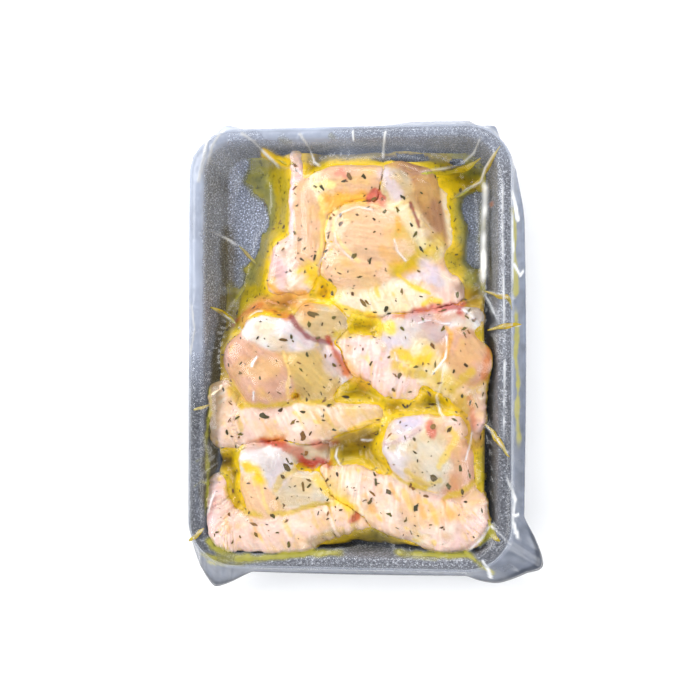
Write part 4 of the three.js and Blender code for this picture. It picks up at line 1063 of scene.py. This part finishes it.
# Creases of the film: a path, height, half width and the strength of the white highlight painted along it
CREASES = strokes([
    ("240,132 253,141 265,155 277,167", 1.4, 1.2, 0.5),
    ("299,132 308,146 313,161 321,166", 1.2, 1.0, 0.6),
    ("387,130 383,147 383,161", 1.2, 1.0, 0.9),
    ("354,130 354,142", 0.8, 0.8, 0.8),
    ("293,167 304,176 311,174", 0.6, 0.8, 0.95),
    ("484,134 473,151 460,160 440,167 416,174", 1.5, 1.3, 0.5),
    ("499,149 484,166 479,179 465,185 451,197", 1.5, 1.3, 0.4),
    ("480,176 484,186 483,215 482,250 483,286", 0.8, 2.8, 1.3),
    ("503,165 503,230 504,286 505,360 504,450", 0.8, 1.0, 0.6),
    ("511,187 515,204 518,222", 0.9, 1.0, 0.95),
    ("511,204 513,250 512,290", 0.5, 0.8, 0.55),
    ("484,290 504,296 517,299", 1.3, 1.1, 0.3),
    ("513,262 520,275 524,268", 0.8, 0.9, 0.7),
    ("488,330 510,325 522,325", 1.2, 1.1, 0.3),
    ("484,424 498,441 511,456", 1.3, 1.1, 0.5),
    ("210,308 221,315 232,322", 1.1, 1.1, 0.2),
    ("205,228 220,236 231,243 234,246", 0.9, 0.9, 0.35),
    ("231,243 239,252 249,262", 1.1, 1.1, 0.3),
    ("192,300 196,330 190,360", 0.6, 0.9, 0.5),
    ("195,410 209,406", 1.0, 1.0, 0.3),
    ("190,541 205,528", 1.0, 1.0, 0.4),
    ("447,333 448,345 446,358 431,377", 0.9, 0.8, 0.95),
    ("446,358 442,384 436,397 440,412 448,421", 0.9, 0.9, 0.55),
    ("395,351 398,362", 0.4, 0.7, 0.95),
    ("418,324 427,321 434,320", 0.4, 0.8, 0.7),
    ("434,320 444,324 453,324", 0.4, 0.8, 0.85),
    ("461,308 472,316 482,327", 0.6, 0.8, 0.5),
    ("482,289 491,306 499,324", 0.6, 0.8, 0.5),
    ("336,230 337,220 345,213 360,208 378,212", 0.4, 0.8, 0.45),
    ("336,230 338,244 347,254 357,263", 0.5, 0.8, 0.6),
    ("396,239 399,252 408,263", 0.6, 0.8, 0.85),
    ("331,243 327,256 317,268", 0.5, 0.8, 0.35),
    ("249,317 257,311 263,311", 0.6, 0.8, 0.9),
    ("260,356 256,362 254,368", 0.5, 0.9, 0.95),
    ("236,326 243,331", 0.5, 0.8, 0.8),
    ("467,552 480,540 490,525", 1.2, 1.1, 0.6),
    ("490,525 502,535 510,545", 1.1, 1.0, 0.8),
    ("482,558 488,570 490,581", 1.2, 1.1, 0.8),
    ("510,513 516,516 519,514", 0.8, 0.9, 0.95),
    ("398,430 404,434", 0.4, 1.2, 0.9),
    ("409,430 413,427", 0.3, 0.8, 0.8),
    ("336,446 334,457 338,464 344,470", 0.8, 0.8, 0.85),
    ("358,440 366,441 372,440", 0.4, 0.7, 0.7),
    ("505,470 515,500 512,520 520,545", 1.2, 1.3, 0.5),
    ("209,135 205,160 199,185", 1.1, 1.2, 0.6),
    ("225,127 214,146 206,172", 0.9, 1.1, 0.5),
    ("255,402 257,390", 0.4, 0.7, 0.8),
    ("466,462 470,445 472,430", 0.5, 0.7, 0.6),
    ("208,515 212,500 217,488", 0.5, 0.7, 0.6),
])
# Strands of marinade caught under the film: a path, half width and cover
STRANDS = strokes([
    ("231,243 239,252 250,262", 1.0, 0.8),
    ("209,307 219,313 233,324", 1.5, 0.8),
    ("195,410 203,408 210,405", 1.0, 0.7),
    ("189,541 197,536 205,528", 1.5, 0.8),
    ("484,290 497,296 508,297 513,310", 1.2, 0.7),
    ("488,330 505,326 522,324", 1.4, 0.75),
    ("485,424 499,440 510,457", 1.4, 0.75),
    ("501,146 491,160 481,175 470,183 452,197", 1.2, 0.75),
    ("480,156 466,163 448,169 420,175", 1.8, 0.9),
    ("268,155 282,158 292,163", 1.6, 0.9),
    ("488,520 492,533 500,541", 1.6, 0.7),
])
# Marinade spread on the film's inner side: a path, half width, colour and strength
SMEARS = strokes([
    # The dark band down the left wall is marinade with painted shade
    ("219,185 222,250 222,310 216,390 208,470 206,530", 4.8, STAIN_AND_SHADE, 0.5),
    ("480,190 481,240 482,300", 2.4, SMEAR, 0.35),
    ("511,204 514,225 513,250 516,275 515,300", 1.1, SMEAR, 0.6),
    ("515,303 517,330 515,355 518,380 517,415 519,452", 1.1, SMEAR, 0.55),
    ("196,551 222,560 262,558 300,553 350,553", 2.0, SMEAR, 0.7),
    ("203,562 232,564 268,560", 1.4, SMEAR, 0.4),
    ("206,536 214,547 234,556 256,557", 2.2, SMEAR, 0.7),
    ("390,550 404,553 430,555 476,556", 1.7, SMEAR, 0.7),
    ("400,556 440,560", 1.0, SMEAR, 0.35),
    ("462,550 478,562 494,576", 1.6, SMEAR, 0.8),
    ("476,545 488,535 492,522", 2.2, SMEAR, 0.5),
    ("208,380 211,405 206,440 208,490 204,528", 0.8, SMEAR, 0.4),
    ("196,462 203,458 209,460", 0.7, SMEAR, 0.35),
    ("194,487 202,481 208,484", 0.7, SMEAR, 0.3),
    ("256,149 272,156 290,163", 2.4, SUN, 0.7),
    ("330,134 336,140", 1.6, SMEAR, 0.16),
    ("278,138 292,145", 2.4, SMEAR, 0.16),
    ("228,300 232,292 236,285", 0.7, SMEAR, 0.5),
    ("490,200 492,206", 1.2, RUST, 0.4),
])
# The pouch's ears: where on the rim one starts, its tip, and half its length along the rim
EARS = [((-88, 107), (-89.8, 108.5, 22), 9), ((-70, 119), (-71, 123.6, 22), 11),
        ((77, 117.5), (80.5, 121, 22), 9), ((-74, -118), (-77, -132, 12), 21),
        ((84, -106), (102, -117, 12), 19), ((75, -123), (77, -130, 14), 13)]
FILM_CELLS, FILM_RING = (236, 320), (0.8, 0.8, 24.2)
SHOULDER_RING, HIP_RING, TOE_RING = (-0.9, -0.9, 25.9, 28.2), (-1.4, -1.4, 26.4, 19.5), (13.2, 9.8, 16, 1.0)
SEAM_RING, SEAM_HEIGHT, SEAM_ROWS = (-1.6, -1.6, 26.6), 21.0, 11
SEAM = {"left": 0.8, "right": 6.2, "far": 0.2, "far_wide": 2.2, "near": 3.0}
STRAND_LEVEL, STRAND_SIDES = 0.8, 8


def onto_ring(u, v, ring):
    """A square from -1 to 1, laid onto the rounded rectangle of a ring."""
    half_x, half_y, radius = HALF_X - ring[0], HALF_Y - ring[1], ring[2]
    x, y = u * half_x, v * half_y
    dx, dy = np.abs(x) - (half_x - radius), np.abs(y) - (half_y - radius)
    corner = (dx > 0) & (dy > 0)
    pull = np.where(corner, np.maximum(dx, dy) / np.maximum(np.hypot(dx, dy), 1e-9), 1)
    x = np.where(corner, np.sign(x) * (half_x - radius + dx * pull), x)
    y = np.where(corner, np.sign(y) * (half_y - radius + dy * pull), y)
    return x, y


def film_height(x, y):
    """The film's height with its ripples and creases."""
    height = grid_value(FILM, x, y)
    rim = smooth((12 + ring_distance(RIM_EDGE, x, y)) / 10)
    span = np.clip(height - grid_value(np.maximum(WING_TOP, TRAY_TOP), x, y) - 1, 0, 6) / 6
    angle = np.arctan2(y / HALF_Y, x / HALF_X)
    radial = noise(angle * 60, np.hypot(x / HALF_X, y / HALF_Y) * 5, 0, 1.0, 51)
    height = height + (0.35 * span + 0.16 * rim) * radial
    height = height + (0.10 + 0.25 * span) * fractal(x, y, 0, 7, 52)
    for points, tall, width, _ in CREASES:
        near = near_line(x, y, points, 4 * width)
        away, along = line_distance(x[near], y[near], points)
        taper = smooth(np.minimum(along, 1 - along) * 6 + 0.15)
        height[near] += tall * taper * np.exp(-np.abs(away / width) ** 1.3)
    return height


def seam_reach(x, y):
    """How far the seam stands out from the rim."""
    sideways = clamp01((np.abs(x) - HALF_X) / 25 + 1)
    endways = clamp01((np.abs(y) - HALF_Y) / 25 + 1)
    share = sideways / (sideways + endways + 1e-6)
    wide = SEAM["far"] + SEAM["far_wide"] * smooth((x - 12) / 26) * smooth((74 - x) / 9)
    reach_y = np.where(y > 0, wide, SEAM["near"])
    reach_x = np.where(x > 0, SEAM["right"] * smooth((108 - y) / 45), SEAM["left"])
    return between(reach_y, reach_x, share) - 1.2 * (4 * share * (1 - share)) * (y > 0)


def skirt_rows(u, v):
    """The film's rows past the rim: out to the ruffled seam, back under it and down to the tray's foot."""
    def laid(ring):
        x, y = onto_ring(u, v, ring)
        return np.stack([x, y, np.full(len(u), ring[3])], axis=1)

    shoulder, hip, toe = laid(SHOULDER_RING), laid(HIP_RING), laid(TOE_RING)
    sx, sy = onto_ring(u, v, SEAM_RING)
    ix, iy = onto_ring(u, v, RIM_EDGE)
    out = np.hypot(sx - ix, sy - iy)
    nx, ny = (sx - ix) / out, (sy - iy) / out
    pull = np.zeros((len(sx), 3))
    for (rx, ry), tip, half in EARS:
        weight = np.maximum(0, 1 - np.hypot(sx - rx, sy - ry) / half) ** 1.15
        pull += weight[:, None] * np.array([tip[0] - rx, tip[1] - ry, tip[2] - SEAM_HEIGHT])
    reach = seam_reach(sx, sy)
    seam = np.stack([sx + nx * reach, sy + ny * reach, np.full(len(sx), SEAM_HEIGHT)], axis=1) + pull
    ruffle = noise(sx, sy, 0, 6.0, 61) + 0.6 * noise(sx, sy, 3, 2.6, 62)
    spread = smooth((np.linalg.norm(seam[:, :2] - shoulder[:, :2], axis=1) - 2) / 10)
    rows = [shoulder]
    for t in np.linspace(1, SEAM_ROWS, SEAM_ROWS) / SEAM_ROWS:
        row = between(shoulder, seam, t)
        row[:, 2] -= 0.9 * math.sin(math.pi * t) * (1 - spread)
        row[:, 2] += (0.35 + 1.3 * spread) * ruffle * math.sin(math.pi * min(t, 0.8))
        rows.append(row)
    for t in (0.35, 0.7, 1.0):
        row = between(seam, hip, t)
        row[:, 2] += 0.4 * ruffle * (1 - t)
        rows.append(row)
    for t in (0.25, 0.5, 0.75, 1.0):
        row = between(hip, toe, t)
        inward = 0.3 * noise(sx, sy, 9 + t * 4, 9.0, 63)
        row[:, 0] -= nx * inward
        row[:, 1] -= ny * inward
        rows.append(row)
    return rows


def film_looks(points, sheet):
    """The film's colour and haze: hazier over the rim with a painted sheen where it is lit, dull where it
    hangs loose, painted shade on the loose film towards the near side, with smears and painted highlights
    along the creases.
    """
    px, py, pz = points.T
    cloud = fractal(px, py, 0, 18, 64)
    haze_and_painted_light = 0.03 * smooth(cloud + 0.2)
    tone = np.repeat(HAZE_AND_SHEEN[None, :], len(points), axis=0)
    inward = -ring_distance(RIM_EDGE, px, py)
    west, north, far_side = smooth((10 - px) / 60), smooth((py + 45) / 60), smooth((py - 92) / 16)
    lit = clamp01(north * west + 0.55 * far_side)
    over_rim, over_floor = smooth((9.5 - inward) / 3), smooth((inward - 16.5) / 4)
    bare = smooth((0.6 - pool_height(px, py) + tray_height(px, py)) / 0.6)
    over_wall = (1 - over_rim) * (1 - over_floor) * far_side
    # Painted sheen: film over the rim is lighter where light falls from the far left, and a little over bare
    # floor and the far wall
    painted_sheen = 0.38 * over_rim * lit + 0.10 * over_floor * bare * north + 0.16 * over_wall
    haze_and_painted_light += painted_sheen * (0.9 + 0.5 * cloud)
    outside = smooth((0.5 - inward) / 2.5)
    # Loose film past the rim is painted in shade towards the near side and the right, and lighter towards
    # the far left
    far = smooth((py + 60) / 130) * (1 - 0.6 * smooth((px - 20) / 60))
    loose = LOOSE_SHADED + (LOOSE_LIT - LOOSE_SHADED) * far[:, None]
    loose = loose * (1 + 0.45 * fractal(px, py, pz, 5, 65))[:, None]
    tone = tinted(tone, loose, outside)
    haze_and_painted_light = haze_and_painted_light + 0.70 * outside + 0.14 * outside * fractal(px, py, pz, 7, 66)
    for smear, width, smear_tone, strength in SMEARS:
        away, along = line_distance(px, py, smear)
        away = np.where(sheet, away, 1e3)
        ends = smooth(np.minimum(along, 1 - along) * 7 + 0.12)
        streaky = clamp01(0.95 + 0.6 * noise(px, py, 0, 6.5, 69))
        away = away + min(width * 0.9, 1.3) * fractal(px, py, 0, 5, 67)
        share = strength * ends * streaky * smooth((1.6 * width - away) / (1.5 * width))
        tone = tinted(tone, smear_tone, smooth(share * 3))
        haze_and_painted_light = np.maximum(haze_and_painted_light, share)
    # Painted highlights: white lines along the creases
    for crest, _, width, highlight in CREASES:
        near = near_line(px, py, crest, 3) & sheet
        away, along = line_distance(px[near], py[near], crest)
        broken = 0.75 + 0.5 * noise(px[near], py[near], 0, 5, 68)
        line = np.exp(-((away / (0.5 * width + 0.15)) ** 2))
        share = clamp01(highlight * broken * line * smooth(np.minimum(along, 1 - along) * 8))
        tone[near] = tinted(tone[near], PAINTED_HIGHLIGHT, smooth(share * 4))
        haze_and_painted_light[near] = np.maximum(haze_and_painted_light[near], share)
    return tone, haze_and_painted_light


def make_film():
    """The pouch: its upper sheet as a grid, and the rows of its skirt."""
    nu, nv = FILM_CELLS
    u, v = np.meshgrid(np.linspace(-1, 1, nu + 1), np.linspace(-1, 1, nv + 1), indexing="ij")
    x, y = onto_ring(u, v, FILM_RING)
    top = np.stack([x.ravel(), y.ravel(), film_height(x, y).ravel()], axis=1)
    edge = [(i, 0) for i in range(nu)] + [(nu, j) for j in range(nv)]
    edge += [(i, nv) for i in range(nu, 0, -1)] + [(0, j) for j in range(nv, 0, -1)]
    ei, ej = np.array(edge).T
    rows = skirt_rows(u[ei, ej], v[ei, ej])
    points = np.concatenate([top, *rows])
    count, around_edge = len(top), len(edge)
    loops = [ei * (nv + 1) + ej]
    loops += [count + n * around_edge + np.arange(around_edge) for n in range(len(rows))]
    faces = [grid_quads(x.shape)]
    faces += [np.stack([a, b, np.roll(b, -1), np.roll(a, -1)], axis=1) for a, b in zip(loops, loops[1:])]
    sheet = np.arange(len(points)) < count + (SEAM_ROWS - 1) * around_edge
    tone, haze_and_painted_light = film_looks(points, sheet)
    seam_rows = slice(count + (SEAM_ROWS - 2) * around_edge, count + (SEAM_ROWS + 1) * around_edge)
    # Painted shadow: the seam's edge on the near side is darker and cloudier
    seam_shadow = smooth((-90 - points[seam_rows, 1]) / 14)
    haze_and_painted_light[seam_rows] += 0.12 + 0.4 * seam_shadow
    tone[seam_rows] = tinted(tone[seam_rows], SEAM_SHADOW, 0.9 * seam_shadow)
    return add_mesh("pouch_film", points, np.concatenate(faces).tolist(), "film", CLEAR,
                    {"tone": tone, "cover": clamp01(haze_and_painted_light)})


def make_strands():
    """Strands of marinade caught in the film's creases: flattened tubes that taper to both ends."""
    points, faces, tones, covers = [], [], [], []
    for n, (way, width, cover) in enumerate(STRANDS):
        run = np.concatenate([[0], np.cumsum(np.hypot(*np.diff(way, axis=0).T))])
        count = max(int(run[-1] / 0.9), 6)
        s = np.linspace(0, run[-1], count)
        x = np.interp(s, run, way[:, 0]) + 0.5 * noise(s, 0, n, 5, 71)
        y = np.interp(s, run, way[:, 1]) + 0.5 * noise(s, 1, n, 5, 72)
        z = film_height(x, y) - 0.75
        dx, dy = np.gradient(x), np.gradient(y)
        size = np.hypot(dx, dy)
        nx, ny = -dy / size, dx / size
        taper = np.sin(math.pi * np.clip(s / run[-1], 0.02, 0.98)) ** 0.6
        half = np.maximum(width * taper * (1 + 0.45 * noise(s, 2, n, 3.5, 73)), 0.08)
        rich = smooth(0.5 + noise(s, 3, n, 6, 74))[:, None]
        start = sum(map(len, points))
        for k in range(STRAND_SIDES):
            angle = 2 * math.pi * k / STRAND_SIDES
            points.append(np.stack([x + nx * half * math.cos(angle), y + ny * half * math.cos(angle),
                                    z + 0.35 * np.minimum(half, 1) * math.sin(angle)], axis=1))
            tones.append(OLIVE * STRAND_LEVEL + (YELLOW - OLIVE) * rich * STRAND_LEVEL)
            covers.append(np.full(count, cover))
            here, there = start + k * count, start + (k + 1) % STRAND_SIDES * count
            faces += [(here + i, there + i, there + i + 1, here + i + 1) for i in range(count - 1)]
        faces.append(tuple(start + k * count for k in range(STRAND_SIDES - 1, -1, -1)))
        faces.append(tuple(start + k * count + count - 1 for k in range(STRAND_SIDES)))
    return add_mesh("marinade_strands", np.concatenate(points), faces, None, MARINADE,
                    {"tone": clamp01(np.concatenate(tones)), "cover": np.concatenate(covers)})


# Build
make_tray()
wings = [make_wing(name, 200 + 20 * n) for n, name in enumerate(WINGS)]
pool = make_pool(wings)
make_herbs(wings + [pool])
make_strands()
make_film()


# Stage, light and camera, in metres
def floor_shader(tree):
    tone = ramp(tree, noise_of(tree, 60, 3), [(0.3, (0.95, 0.95, 0.95)), (0.7, (0.98, 0.98, 0.98))])
    return principled(tree, {"Base Color": tone, "Roughness": 0.8,
                             "Emission Color": (1, 1, 1, 1), "Emission Strength": 0.06})


floor_mesh = bpy.data.meshes.new("floor")
floor_mesh.from_pydata([(-2, -2, 0), (2, -2, 0), (2, 2, 0), (-2, 2, 0)], [], [(0, 1, 2, 3)])
floor_mesh.materials.append(new_material("pale_floor", floor_shader))
floor = bpy.data.objects.new("floor", floor_mesh)
floor.location.z = -0.0005
bpy.context.scene.collection.objects.link(floor)

world = bpy.data.worlds.new("studio")
world.use_nodes = True
sky = world.node_tree
direction = add_node(sky, "TexCoord").outputs["Generated"]
height = add_node(sky, "SeparateXYZ", {"Vector": direction}).outputs["Z"]
sky_tone = ramp(sky, height, [(0.0, (0.70, 0.72, 0.75)), (0.55, (0.54, 0.56, 0.59)),
                              (0.85, (0.22, 0.23, 0.25))])
sky.links.new(sky_tone, sky.nodes["Background"].inputs["Color"])
sky.nodes["Background"].inputs["Strength"].default_value = 1.0
bpy.context.scene.world = world

# Lights: name, place, size and power
for name, location, size, power in [
        ("soft_left", (-1.0, 0.45, 0.75), (0.9, 0.9), 18), ("soft_right", (1.0, -0.45, 0.8), (0.9, 0.9), 12),
        ("soft_far", (0.2, 1.15, 0.7), (1.1, 0.5), 9), ("soft_near", (-0.2, -1.2, 0.8), (1.1, 0.5), 4)]:
    data = bpy.data.lights.new(name, "AREA")
    data.shape = "RECTANGLE"
    data.size, data.size_y = size
    data.energy = power
    light = bpy.data.objects.new(name, data)
    light.location = location
    light.rotation_euler = (-Vector(location)).to_track_quat("-Z", "Y").to_euler()
    bpy.context.scene.collection.objects.link(light)

camera_data = bpy.data.cameras.new("camera")
camera_data.sensor_width = SENSOR
camera_data.lens = FOCAL_PX / FRAME_PX * SENSOR
camera = bpy.data.objects.new("camera", camera_data)
camera.matrix_world = Matrix.Translation(Vector(EYE * MM)) @ Matrix(
    [[RIGHT[n], UP[n], BACK[n]] for n in range(3)]).to_4x4()
bpy.context.scene.collection.objects.link(camera)
bpy.context.scene.camera = camera
bpy.context.scene.view_settings.view_transform = "Standard"

bpy.context.view_layer.update()
